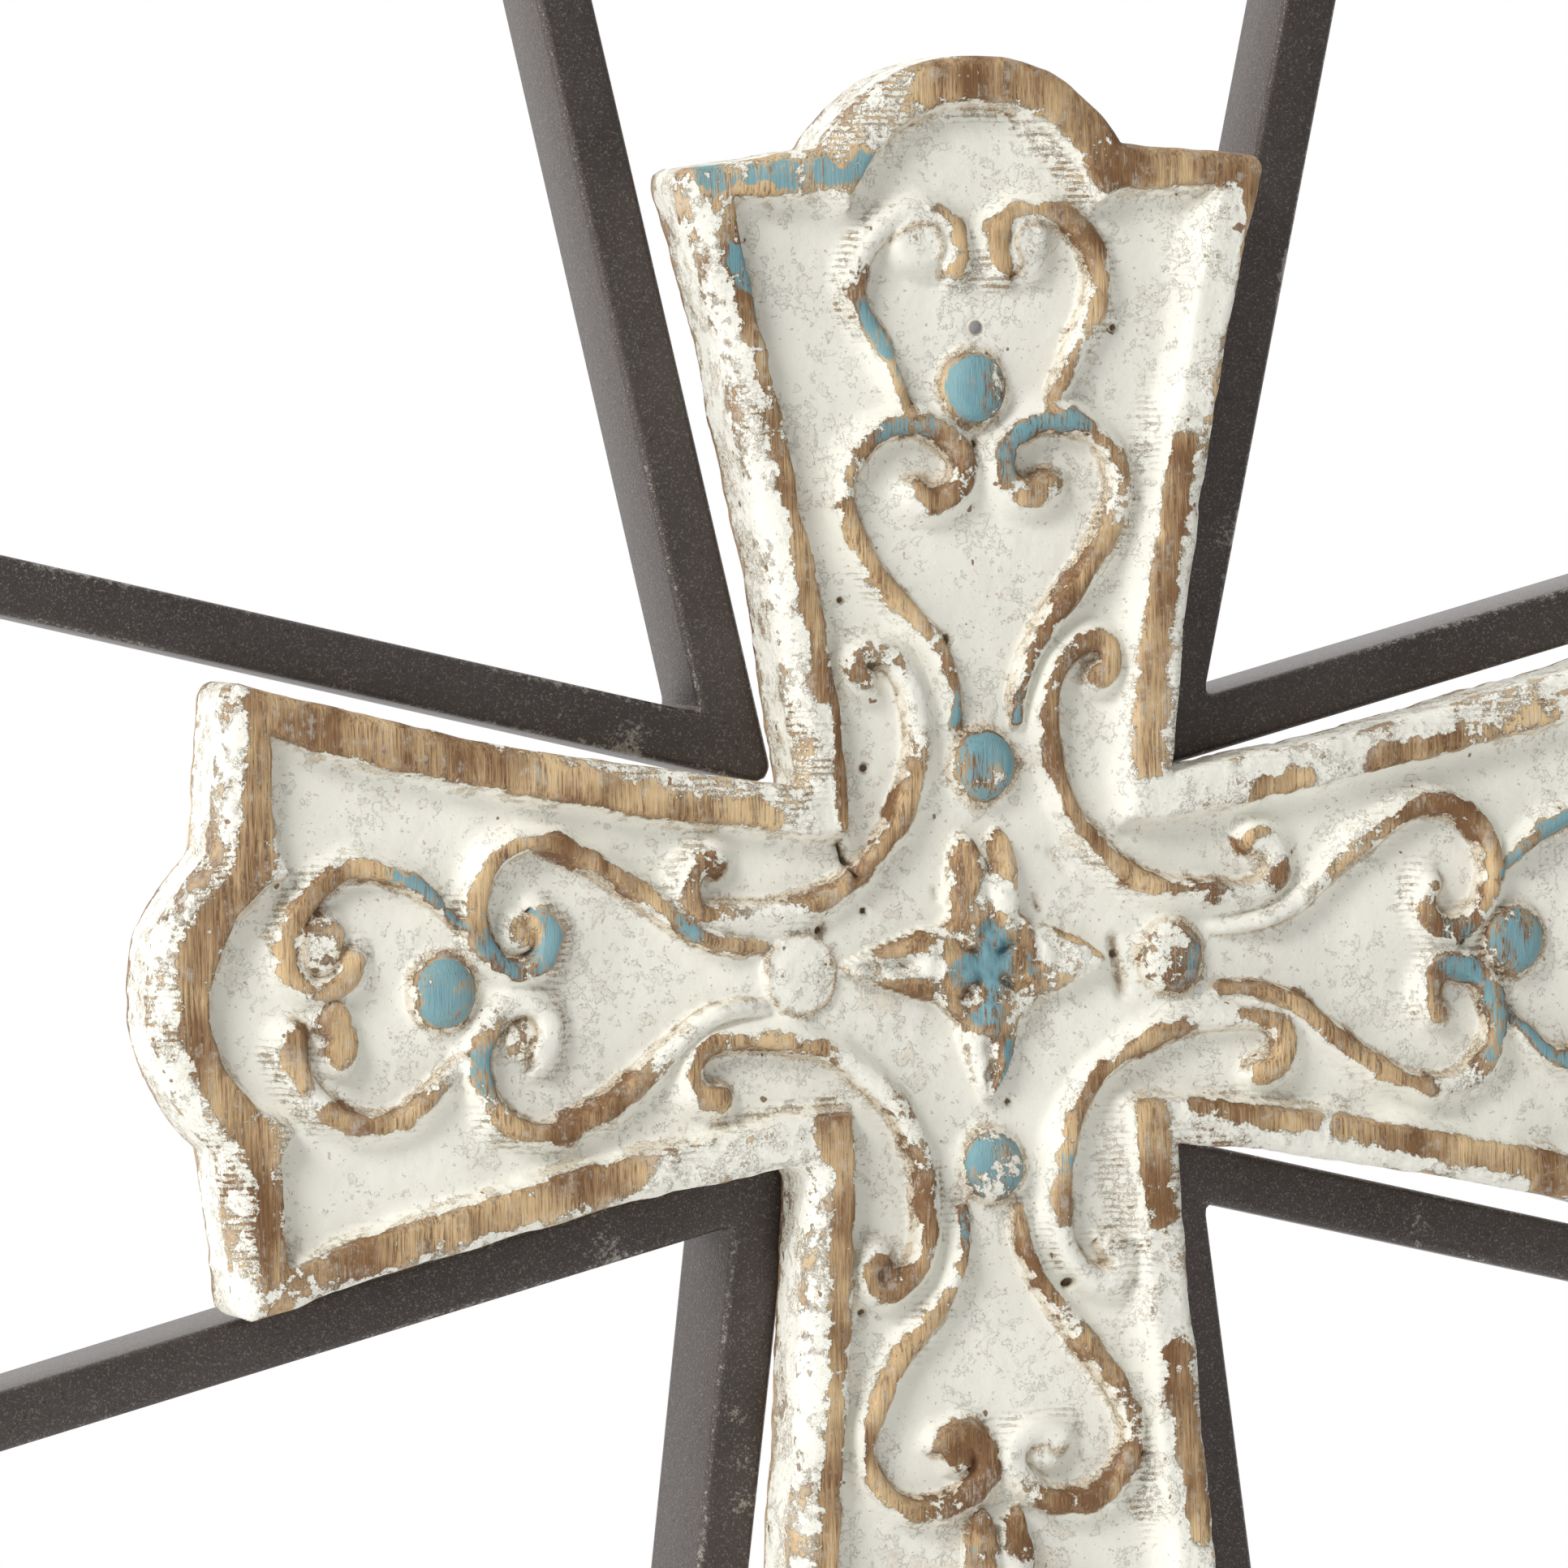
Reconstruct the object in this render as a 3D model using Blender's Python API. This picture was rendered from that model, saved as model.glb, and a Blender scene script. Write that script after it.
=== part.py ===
"""Wall cross: a carved wooden cross on the front of a welded frame of rectangular steel tube.

The cross is drawn flat, in metres: X to the right, Y up, Z out of the wall, from the middle of the
wooden cross. The empty at the end stands this drawing against the wall, with the origin at the
middle of the top bar's back face.
"""

import math

import bmesh
import bpy
from mathutils import Matrix, Vector

# Frame: a closed line of twelve mitred tubes. Reaches run from the middle to a bar's outer face.
FRAME_SIDE_REACH = 0.305
FRAME_TOP_REACH = 0.305
FRAME_BOTTOM_REACH = 0.508
FRAME_END_HALF = 0.1020
FRAME_NECK_X = 0.0461
FRAME_NECK_Y = 0.0420
TUBE_FACE = 0.0133
TUBE_DEPTH = 0.0245
TUBE_WALL = 0.0012
TUBE_EDGE_RADIUS = 0.0018
FIT_GAP = 0.0003

# Wooden cross. Arm lengths run from the middle to the shoulder of each arm's end.
WOOD_THICKNESS = 0.0222
WOOD_TURN = math.radians(0.45)
WOOD_NECK_X = 0.0460
WOOD_NECK_Y = 0.0435
WOOD_TOP_ARM = 0.190
WOOD_SIDE_ARM = 0.1895
WOOD_BOTTOM_ARM = 0.326
WOOD_TIP_HALF = 0.0735
TIP_DROP = 0.0040
TIP_RADIUS = 0.0035
FLARE_STRAIGHT_SHARE = 0.6
BULGE_RADIUS = 0.0430
TOP_BULGE_SET_BACK = 0.0220
SIDE_BULGE_SET_BACK = 0.0275
EDGE_RADIUS = 0.0026

# Carving: a panel sunk inside a raised rim, with scrolls, studs and rosettes left standing on it.
RIM_WIDTH = 0.0110
CUSP_DROP = 0.0035
CUSP_RUN = 0.0070
PANEL_DEPTH = 0.0065
SCROLL_HALF_WIDTH = 0.0026
SCROLL_HEIGHT = 0.0050
SCROLL_TAPER = {"start": 0.55, "taper_share": 0.3, "end_swell": 0.15, "two_ended_swell": 0.2}
STUD_RADIUS_X = 0.0081
STUD_RADIUS_Y = 0.0087
STUD_HEIGHT = 0.0056
STUD_ROUNDING = 0.0025
INNER_STUD_REACH = 0.0465
OUTER_STUD_REACH = 0.1340
LOWER_MOTIF_SHIFT = 0.1360
LOWER_ROSETTE_REACH = 0.1580
PETAL_HEIGHT = 0.0048
BOSS_RADIUS_X = 0.0125
BOSS_RADIUS_Y = 0.0115
BOSS_HEIGHT = 0.0056

# Rosette leaves: each one's middle from the boss's middle, and its half width and half height.
LEAVES = {
    "upper_left": ((-0.0036, 0.0215), (0.0042, 0.0102)),
    "upper_right": ((0.0036, 0.0215), (0.0042, 0.0102)),
    "lower_left": ((-0.0028, -0.0205), (0.0034, 0.0090)),
    "lower_right": ((0.0028, -0.0205), (0.0034, 0.0090)),
    "left": ((-0.0205, 0.0), (0.0120, 0.0078)),
    "right": ((0.0195, 0.0), (0.0108, 0.0076)),
}

# Scrolls as chains of tangent arcs in an arm's own frame, X across and Y outwards:
# a start point, a heading in degrees, then (radius, turn in degrees) for each arc.
HEART = ((0.0069, 0.0560), 93, ((0.0320, -47), (0.0840, 20), (0.0157, 168), (0.0069, 165)))
LYRE = ((0.0166, 0.1287), 65, ((0.5000, -2.75), (0.0170, 118), (0.0083, 165)))
SIDE_LYRE = ((0.0160, 0.1300), 47, ((0.5000, 1.4), (0.0195, 132), (0.0076, 165)))
CORNER = ((0.0296, 0.0667), 23, ((0.0042, 176), (0.0143, 58), (0.0408, 101), (0.0920, 8), (0.0064, 175)))

# Drawing steps: the longest side of a facet on an arc, and the points on one flared side.
ARC_STEP = math.radians(13)
SCROLL_STEP = 0.0052
CURL_STEP_SHARE = 0.55
CORNER_PASSES = 8
DOME_RINGS = 6
SIDE_STEPS = 6
DOME_SIDES = 10
BOSS_SIDES = 14
STUD_SIDES = 16
OVERCUT = 0.0010

WOOD_COLOUR = (0.80, 0.76, 0.68, 1.0)
STEEL_COLOUR = (0.10, 0.09, 0.085, 1.0)


def clear_scene():
    for item in list(bpy.data.objects):
        bpy.data.objects.remove(item, do_unlink=True)


def new_collection(name, hidden=False):
    collection = bpy.data.collections.new(name)
    collection.hide_render = hidden
    bpy.context.scene.collection.children.link(collection)
    return collection


def make_material(name, colour, roughness, metallic):
    material = bpy.data.materials.new(name)
    material.use_nodes = True
    shader = material.node_tree.nodes["Principled BSDF"]
    shader.inputs["Base Color"].default_value = colour
    shader.inputs["Roughness"].default_value = roughness
    shader.inputs["Metallic"].default_value = metallic
    return material


def link_mesh(name, mesh, collection):
    item = bpy.data.objects.new(name, mesh)
    collection.objects.link(item)
    return item


def mesh_from_curve(curve_object, name, collection):
    """Turn a curve object into a welded mesh object and remove the curve."""
    bpy.context.view_layer.update()
    graph = bpy.context.evaluated_depsgraph_get()
    mesh = bpy.data.meshes.new_from_object(curve_object.evaluated_get(graph))
    mesh.name = name
    shape = bmesh.new()
    shape.from_mesh(mesh)
    bmesh.ops.remove_doubles(shape, verts=shape.verts, dist=1e-6)
    bmesh.ops.recalc_face_normals(shape, faces=shape.faces)
    shape.to_mesh(mesh)
    shape.free()
    item = link_mesh(name, mesh, collection)
    item.matrix_world = curve_object.matrix_world.copy()
    bpy.data.objects.remove(curve_object, do_unlink=True)
    return item


def make_prism(name, outline, bottom, top, collection):
    """A flat outline extruded from the height bottom to the height top."""
    curve = bpy.data.curves.new(name, "CURVE")
    curve.dimensions = "2D"
    curve.fill_mode = "BOTH"
    curve.extrude = (top - bottom) / 2
    spline = curve.splines.new("POLY")
    spline.points.add(len(outline) - 1)
    for point, place in zip(spline.points, outline):
        point.co = (place[0], place[1], 0.0, 1.0)
    spline.use_cyclic_u = True
    outline_object = link_mesh(name + "_outline", curve, collection)
    item = mesh_from_curve(outline_object, name, collection)
    item.data.transform(Matrix.Translation((0.0, 0.0, (top + bottom) / 2)))
    return item


def round_edges(item, chosen, radius, segments):
    """Round the edges of a mesh that the function chosen picks."""
    shape = bmesh.new()
    shape.from_mesh(item.data)
    bmesh.ops.dissolve_limit(
        shape, angle_limit=math.radians(0.5), verts=shape.verts, edges=shape.edges
    )
    edges = [edge for edge in shape.edges if chosen(edge)]
    bmesh.ops.bevel(shape, geom=edges, offset=radius, segments=segments, profile=0.5, affect="EDGES")
    shape.to_mesh(item.data)
    shape.free()


def add_boolean(item, operation, other):
    modifier = item.modifiers.new(operation.title(), "BOOLEAN")
    modifier.operation = operation
    modifier.solver = "EXACT"
    if isinstance(other, bpy.types.Collection):
        modifier.operand_type = "COLLECTION"
        modifier.collection = other
    else:
        modifier.object = other


def make_cutter(item):
    item.hide_render = True
    item.display_type = "WIRE"


def arc_points(centre, radius, start, end):
    steps = max(2, math.ceil(abs(end - start) / ARC_STEP))
    angles = [start + (end - start) * index / steps for index in range(steps + 1)]
    return [(centre[0] + radius * math.cos(a), centre[1] + radius * math.sin(a)) for a in angles]


# Frame


def line_crossing(point_a, along_a, point_b, along_b):
    cross = along_a.x * along_b.y - along_a.y * along_b.x
    reach = ((point_b.x - point_a.x) * along_b.y - (point_b.y - point_a.y) * along_b.x) / cross
    return point_a + along_a * reach


def frame_corners():
    """The inner line of the frame, clockwise from the left end of the top bar."""
    side = FRAME_SIDE_REACH - TUBE_FACE
    top = FRAME_TOP_REACH - TUBE_FACE
    bottom = FRAME_BOTTOM_REACH - TUBE_FACE
    right_half = [
        (FRAME_END_HALF, top),
        (FRAME_NECK_X, FRAME_NECK_Y),
        (side, FRAME_END_HALF),
        (side, -FRAME_END_HALF),
        (FRAME_NECK_X, -FRAME_NECK_Y),
        (FRAME_END_HALF, -bottom),
    ]
    left_half = [(-x, y) for x, y in reversed(right_half)]
    corners = [left_half[-1]] + right_half + left_half[:-1]
    return [Vector(corner) for corner in corners]


TUBE_NAMES = (
    "frame_top_end_bar",
    "frame_top_arm_right_tube",
    "frame_right_arm_upper_tube",
    "frame_right_end_bar",
    "frame_right_arm_lower_tube",
    "frame_bottom_arm_right_tube",
    "frame_bottom_end_bar",
    "frame_bottom_arm_left_tube",
    "frame_left_arm_lower_tube",
    "frame_left_end_bar",
    "frame_left_arm_upper_tube",
    "frame_top_arm_left_tube",
)


def mitred_outline(before, start, end, after):
    """The four corners of one tube between two mitres, seen from the front."""
    along = (end - start).normalized()
    outwards = Vector((-along.y, along.x))
    corners = []
    for corner, neighbour, inwards in ((start, start - before, along), (end, after - end, -along)):
        neighbour = neighbour.normalized()
        neighbour_outwards = Vector((-neighbour.y, neighbour.x))
        outer = line_crossing(
            corner + outwards * TUBE_FACE, along, corner + neighbour_outwards * TUBE_FACE, neighbour
        )
        mitre = (outer - corner).normalized()
        clearance = FIT_GAP / 2 / abs(along.x * mitre.y - along.y * mitre.x)
        corners.append((corner + inwards * clearance, outer + inwards * clearance))
    return [corners[0][0], corners[1][0], corners[1][1], corners[0][1]]


def make_tube(name, outline, material, parts, cutters):
    """A rectangular tube with rounded long edges and open, mitred ends."""
    tube = make_prism(name, outline, 0.0, TUBE_DEPTH, parts)
    along = (outline[1] - outline[0]).normalized()
    direction = Vector((along.x, along.y, 0.0))

    def runs_along(edge):
        run = (edge.verts[0].co - edge.verts[1].co).normalized()
        return abs(run.dot(direction)) > 0.999

    round_edges(tube, runs_along, TUBE_EDGE_RADIUS, 3)
    length = max((outline[1] - outline[0]).length, (outline[2] - outline[3]).length)
    middle = (outline[0] + outline[1] + outline[2] + outline[3]) / 4
    bore = bmesh.new()
    bmesh.ops.create_cube(bore, size=1.0)
    size = (length + 2 * TUBE_FACE, TUBE_FACE - 2 * TUBE_WALL, TUBE_DEPTH - 2 * TUBE_WALL)
    bmesh.ops.scale(bore, vec=size, verts=bore.verts)
    bore_mesh = bpy.data.meshes.new(name + "_bore")
    bore.to_mesh(bore_mesh)
    bore.free()
    cutter = link_mesh(name + "_bore", bore_mesh, cutters)
    cutter.location = (middle.x, middle.y, TUBE_DEPTH / 2)
    cutter.rotation_euler = (0.0, 0.0, math.atan2(along.y, along.x))
    make_cutter(cutter)
    add_boolean(tube, "DIFFERENCE", cutter)
    tube.data.materials.append(material)
    return [tube, cutter]


def make_frame(material, parts, cutters):
    corners = frame_corners()
    made = []
    count = len(corners)
    for index, name in enumerate(TUBE_NAMES):
        ring = [corners[(index + step) % count] for step in (-1, 0, 1, 2)]
        made += make_tube(name, mitred_outline(*ring), material, parts, cutters)
    return made


# Wooden cross


def side_half_width(reach, neck_half, neck_reach, tip_reach):
    """Half the width of an arm at a distance from the middle, along its flared side."""
    share = max(0.0, (reach - neck_reach) / (tip_reach - neck_reach))
    curve = FLARE_STRAIGHT_SHARE * share + (1 - FLARE_STRAIGHT_SHARE) * share**2
    return neck_half + (WOOD_TIP_HALF - neck_half) * curve


def round_corner(before, corner, after, radius):
    """The arc that rounds a corner between two straight lines."""
    before, corner, after = Vector(before), Vector(corner), Vector(after)
    back = (before - corner).normalized()
    ahead = (after - corner).normalized()
    half_angle = back.angle(ahead) / 2
    setback = radius / math.tan(half_angle)
    centre = corner + (back + ahead).normalized() * (radius / math.sin(half_angle))
    first = corner + back * setback - centre
    last = corner + ahead * setback - centre
    start = math.atan2(first.y, first.x)
    sweep = math.remainder(math.atan2(last.y, last.x) - start, math.tau)
    return arc_points(centre, radius, start, start + sweep)


def arm_outline(neck_half, neck_reach, shoulder, bulge_set_back, inset, start_reach):
    """The right half of one arm, from its neck to the top of the bulge, inset by a distance."""
    tip_reach = shoulder - TIP_DROP
    points = []
    side_end = tip_reach - inset
    for step in range(SIDE_STEPS + 1):
        reach = start_reach + (side_end - start_reach) * step / SIDE_STEPS
        points.append((side_half_width(reach, neck_half, neck_reach, tip_reach) - inset, reach))
    bulge_centre = shoulder - bulge_set_back
    bulge = BULGE_RADIUS - inset
    inner_line = inset > 0
    rise = shoulder - inset - bulge_centre - (CUSP_DROP if inner_line else 0.0)
    foot_angle = math.asin(rise / bulge)
    foot = (bulge * math.cos(foot_angle), bulge_centre + rise)
    if inner_line:
        points[-1] = (points[-1][0], shoulder - inset)
        points.append((foot[0] + CUSP_RUN, shoulder - inset))
    else:
        points = points[:-1] + round_corner(points[-2], points[-1], foot, TIP_RADIUS)
    points += arc_points((0.0, bulge_centre), bulge, foot_angle, math.pi / 2)
    return points


def crossing_corner(inset):
    """Where the sides of an upright arm and a side arm meet, both inset by a distance."""
    x, y = WOOD_NECK_X - inset, WOOD_NECK_Y - inset
    for _ in range(CORNER_PASSES):
        x = side_half_width(y, WOOD_NECK_X, WOOD_NECK_Y, WOOD_TOP_ARM - TIP_DROP) - inset
        y = side_half_width(x, WOOD_NECK_Y, WOOD_NECK_X, WOOD_SIDE_ARM - TIP_DROP) - inset
    return x, y


def cross_outline(inset):
    """The outline of the wooden cross, or of the panel inside its rim."""
    corner_x, corner_y = crossing_corner(inset)
    upright = (WOOD_NECK_X, WOOD_NECK_Y)
    across = (WOOD_NECK_Y, WOOD_NECK_X)
    top = arm_outline(*upright, WOOD_TOP_ARM, TOP_BULGE_SET_BACK, inset, corner_y)
    side = arm_outline(*across, WOOD_SIDE_ARM, SIDE_BULGE_SET_BACK, inset, corner_x)
    bottom = arm_outline(*upright, WOOD_BOTTOM_ARM, TOP_BULGE_SET_BACK, inset, corner_y)
    top_right = [(x, y) for x, y in reversed(top)]
    side_upper = [(y, x) for x, y in side[1:]]
    side_lower = [(y, -x) for x, y in reversed(side[:-1])]
    bottom_right = [(x, -y) for x, y in bottom[1:]]
    right_half = top_right + side_upper + side_lower + bottom_right
    left_half = [(-x, y) for x, y in reversed(right_half[1:-1])]
    return right_half + left_half


def chain_of_arcs(chain):
    """The points of a scroll made of tangent arcs."""
    (x, y), heading, arcs = chain
    heading = math.radians(heading)
    points = [(x, y)]
    for radius, degrees in arcs:
        turn = math.radians(degrees)
        side = math.copysign(1.0, turn)
        centre_x = x - side * radius * math.sin(heading)
        centre_y = y + side * radius * math.cos(heading)
        longest = min(SCROLL_STEP, radius * CURL_STEP_SHARE)
        steps = max(1, math.ceil(abs(radius * turn) / longest))
        for step in range(1, steps + 1):
            angle = heading + turn * step / steps
            x = centre_x + side * radius * math.sin(angle)
            y = centre_y - side * radius * math.cos(angle)
            points.append((x, y))
        heading += turn
    return points


def scroll_width(share, thin_start):
    """The width of a scroll along its length: thin where it springs, full in its curl."""
    if not thin_start:
        return 1.0 + SCROLL_TAPER["two_ended_swell"] * abs(2 * share - 1) ** 3
    start = SCROLL_TAPER["start"]
    grown = min(1.0, share / SCROLL_TAPER["taper_share"])
    return start + (1.0 - start) * grown + SCROLL_TAPER["end_swell"] * share**3


def make_scroll(name, chain, placement, thin_start, floor, carving):
    """One scroll ridge: a swept tube made taller than it is wide, half sunk in the panel."""
    curve = bpy.data.curves.new(name, "CURVE")
    curve.dimensions = "3D"
    curve.bevel_depth = SCROLL_HALF_WIDTH
    curve.bevel_resolution = 1
    top_of_section = math.sin(math.pi / 3)
    curve.use_fill_caps = True
    points = [placement @ Vector((x, y, 0.0)) for x, y in chain_of_arcs(chain)]
    spline = curve.splines.new("POLY")
    spline.points.add(len(points) - 1)
    for index, (point, place) in enumerate(zip(spline.points, points)):
        point.co = (place.x, place.y, 0.0, 1.0)
        point.radius = scroll_width(index / (len(points) - 1), thin_start)
    swept = link_mesh(name + "_path", curve, carving)
    item = mesh_from_curve(swept, name, carving)
    stretch = SCROLL_HEIGHT / (SCROLL_HALF_WIDTH * top_of_section)
    item.data.transform(Matrix.Diagonal((1.0, 1.0, stretch, 1.0)))
    item.data.transform(Matrix.Translation((0.0, 0.0, floor)))
    make_cutter(item)


def make_dome(name, centre, radii, height, sides, floor, carving):
    """A low dome: half an ellipsoid that stands on the panel."""
    shape = bmesh.new()
    bmesh.ops.create_uvsphere(shape, u_segments=sides, v_segments=DOME_RINGS, radius=1.0)
    bmesh.ops.scale(shape, vec=(radii[0], radii[1], height), verts=shape.verts)
    bmesh.ops.translate(shape, vec=(centre[0], centre[1], floor), verts=shape.verts)
    mesh = bpy.data.meshes.new(name)
    shape.to_mesh(mesh)
    shape.free()
    make_cutter(link_mesh(name, mesh, carving))


def make_stud(name, centre, floor, carving):
    """A round stud with a nearly flat face: a low cylinder with its top edge rounded over."""
    shape = bmesh.new()
    bmesh.ops.create_cone(
        shape,
        cap_ends=True,
        segments=STUD_SIDES,
        radius1=1.0,
        radius2=1.0,
        depth=2 * STUD_HEIGHT,
    )
    bmesh.ops.scale(shape, vec=(STUD_RADIUS_X, STUD_RADIUS_Y, 1.0), verts=shape.verts)
    rim = [edge for edge in shape.edges if all(vert.co.z > 0 for vert in edge.verts)]
    bmesh.ops.bevel(
        shape, geom=rim, offset=STUD_ROUNDING, segments=2, profile=0.5, affect="EDGES"
    )
    bmesh.ops.translate(shape, vec=(centre[0], centre[1], floor), verts=shape.verts)
    mesh = bpy.data.meshes.new(name)
    shape.to_mesh(mesh)
    shape.free()
    make_cutter(link_mesh(name, mesh, carving))


def make_rosette(name, centre_y, floor, carving):
    """A four-leaved rosette: paired leaves above and below, single ones at the sides, and a boss."""
    for leaf, ((x, y), radii) in LEAVES.items():
        middle = (x, centre_y + y)
        make_dome(f"{name}_{leaf}", middle, radii, PETAL_HEIGHT, DOME_SIDES, floor, carving)
    boss_radii = (BOSS_RADIUS_X, BOSS_RADIUS_Y)
    middle = (0.0, centre_y)
    make_dome(f"{name}_boss", middle, boss_radii, BOSS_HEIGHT, BOSS_SIDES, floor, carving)


def make_carving(floor, carving):
    """Scrolls, studs and rosettes, all standing on the sunk panel."""
    turns = {"top": 0, "left": 90, "bottom": 180, "right": 270}
    mirror = Matrix.Diagonal((-1.0, 1.0, 1.0, 1.0))
    shift = Matrix.Translation((0.0, LOWER_MOTIF_SHIFT, 0.0))
    for arm, degrees in turns.items():
        turn = Matrix.Rotation(math.radians(degrees), 4, "Z")
        outer = turn @ shift if arm == "bottom" else turn
        hearts = [("heart", turn)]
        if arm == "bottom":
            hearts.append(("outer_heart", outer))
        for side, flip in (("a", Matrix.Identity(4)), ("b", mirror)):
            for label, place in hearts:
                make_scroll(f"{arm}_{label}_{side}", HEART, place @ flip, True, floor, carving)
            lyre = SIDE_LYRE if arm in ("left", "right") else LYRE
            make_scroll(f"{arm}_lyre_{side}", lyre, outer @ flip, True, floor, carving)
        inner_stud = turn @ Vector((0.0, INNER_STUD_REACH, 0.0))
        outer_stud = outer @ Vector((0.0, OUTER_STUD_REACH, 0.0))
        make_stud(f"{arm}_inner_stud", inner_stud, floor, carving)
        make_stud(f"{arm}_outer_stud", outer_stud, floor, carving)
    for name, signs in {"ne": (1, 1), "nw": (-1, 1), "sw": (-1, -1), "se": (1, -1)}.items():
        place = Matrix.Diagonal((signs[0], signs[1], 1.0, 1.0))
        make_scroll(f"corner_scroll_{name}", CORNER, place, False, floor, carving)
    make_rosette("middle_rosette", 0.0, floor, carving)
    make_rosette("lower_rosette", -LOWER_ROSETTE_REACH, floor, carving)


def make_wooden_cross(material, parts, cutters, carving):
    cross = make_prism("wooden_cross", cross_outline(0.0), 0.0, WOOD_THICKNESS, parts)

    def on_front_edge(edge):
        return len(edge.link_faces) == 2 and all(
            abs(vert.co.z - WOOD_THICKNESS) < 1e-6 for vert in edge.verts
        )

    round_edges(cross, on_front_edge, EDGE_RADIUS, 2)
    floor = WOOD_THICKNESS - PANEL_DEPTH
    panel = make_prism(
        "panel_cutter", cross_outline(RIM_WIDTH), floor, WOOD_THICKNESS + OVERCUT, cutters
    )
    make_cutter(panel)
    add_boolean(cross, "DIFFERENCE", panel)
    make_carving(floor, carving)
    add_boolean(cross, "UNION", carving)
    cross.data.materials.append(material)
    moved = [cross, panel, *carving.objects]
    for item in moved:
        item.location = (0.0, 0.0, TUBE_DEPTH + FIT_GAP)
        item.rotation_euler = (0.0, 0.0, WOOD_TURN)
    return moved


def stand_on_wall(items, collection):
    """Stand the flat drawing up against the wall, with the top bar's back at the origin."""
    stand = bpy.data.objects.new("wall_stand", None)
    collection.objects.link(stand)
    stand.location = (0.0, 0.0, TUBE_FACE / 2 - FRAME_TOP_REACH)
    stand.rotation_euler = (math.pi / 2, 0.0, 0.0)
    for item in items:
        item.parent = stand


def main():
    clear_scene()
    parts = new_collection("wall_cross")
    cutters = new_collection("wall_cross_cutters", hidden=True)
    carving = new_collection("wall_cross_carving", hidden=True)
    wood = make_material("painted_wood", WOOD_COLOUR, 0.85, 0.0)
    steel = make_material("bronzed_steel", STEEL_COLOUR, 0.45, 0.8)
    items = make_frame(steel, parts, cutters)
    items += make_wooden_cross(wood, parts, cutters, carving)
    stand_on_wall(items, parts)


main()
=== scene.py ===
"""Wall cross: a carved and painted wooden cross on a welded frame of steel tube.

The wood is one fine mesh: a drawing of the carving in plan, with points set along every carved
edge, raised by a height for each point. The frame is one closed line of tube, swept by a geometry
node tree. Lengths are in metres, and MM turns a value read in millimetres into metres.
"""

import math
from collections import namedtuple

import bmesh
import bpy
import numpy as np
from bpy.props import FloatProperty, FloatVectorProperty, PointerProperty
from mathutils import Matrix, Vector
from mathutils.geometry import delaunay_2d_cdt


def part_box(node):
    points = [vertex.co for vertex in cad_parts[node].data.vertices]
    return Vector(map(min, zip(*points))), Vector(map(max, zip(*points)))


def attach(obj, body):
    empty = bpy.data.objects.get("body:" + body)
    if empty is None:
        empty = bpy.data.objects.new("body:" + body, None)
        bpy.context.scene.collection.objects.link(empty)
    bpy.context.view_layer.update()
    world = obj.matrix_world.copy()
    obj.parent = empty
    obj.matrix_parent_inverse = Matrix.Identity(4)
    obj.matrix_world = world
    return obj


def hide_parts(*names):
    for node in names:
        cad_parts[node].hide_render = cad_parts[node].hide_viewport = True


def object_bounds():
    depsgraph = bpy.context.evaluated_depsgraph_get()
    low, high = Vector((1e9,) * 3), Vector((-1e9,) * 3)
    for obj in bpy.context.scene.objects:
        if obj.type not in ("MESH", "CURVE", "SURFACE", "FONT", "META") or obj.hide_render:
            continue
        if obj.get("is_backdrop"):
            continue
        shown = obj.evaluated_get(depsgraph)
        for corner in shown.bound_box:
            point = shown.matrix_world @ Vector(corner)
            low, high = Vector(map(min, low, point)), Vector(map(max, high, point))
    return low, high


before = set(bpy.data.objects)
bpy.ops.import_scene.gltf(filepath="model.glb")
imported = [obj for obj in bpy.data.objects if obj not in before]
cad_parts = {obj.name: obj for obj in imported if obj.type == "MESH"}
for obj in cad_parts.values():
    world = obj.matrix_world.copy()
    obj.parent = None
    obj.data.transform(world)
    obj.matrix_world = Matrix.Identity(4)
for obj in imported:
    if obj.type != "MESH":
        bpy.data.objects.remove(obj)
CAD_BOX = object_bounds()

bl_info = {
    "name": "Wall cross",
    "version": (1, 0, 0),
    "blender": (4, 5, 0),
    "location": "3D View > Sidebar > Wall cross",
    "description": "Builds a carved and painted wall cross on its steel frame",
    "category": "Object",
}

MM = 0.001
BODY = "root"

# Wooden cross in plan: X to the right, Y up, from its middle.
WOOD_TURN = math.radians(0.45)
NECK_X = 46.0 * MM
NECK_Y = 43.5 * MM
TOP_ARM = 190.0 * MM
SIDE_ARM = 189.5 * MM
BOTTOM_ARM = 326.0 * MM
TIP_HALF = 73.5 * MM
TIP_DROP = 4.0 * MM
TIP_RADIUS = 3.5 * MM
FLARE_STRAIGHT_SHARE = 0.6
BULGE_RADIUS = 43.0 * MM
TOP_BULGE_SET_BACK = 22.0 * MM
SIDE_BULGE_SET_BACK = 27.5 * MM
CUSP_DROP = 3.5 * MM
CUSP_RUN = 7.0 * MM
EDGE_RADIUS = 2.6 * MM
NECK_EASE_REACH = 16.0 * MM
NECK_EASE_POINTS = 5

# The rim was left wider on the left end, from the first of two reaches on to the second.
LEFT_RIM_EXTRA = 4.2 * MM
LEFT_RIM_REACHES = (-164.0 * MM, -176.0 * MM)

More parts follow.
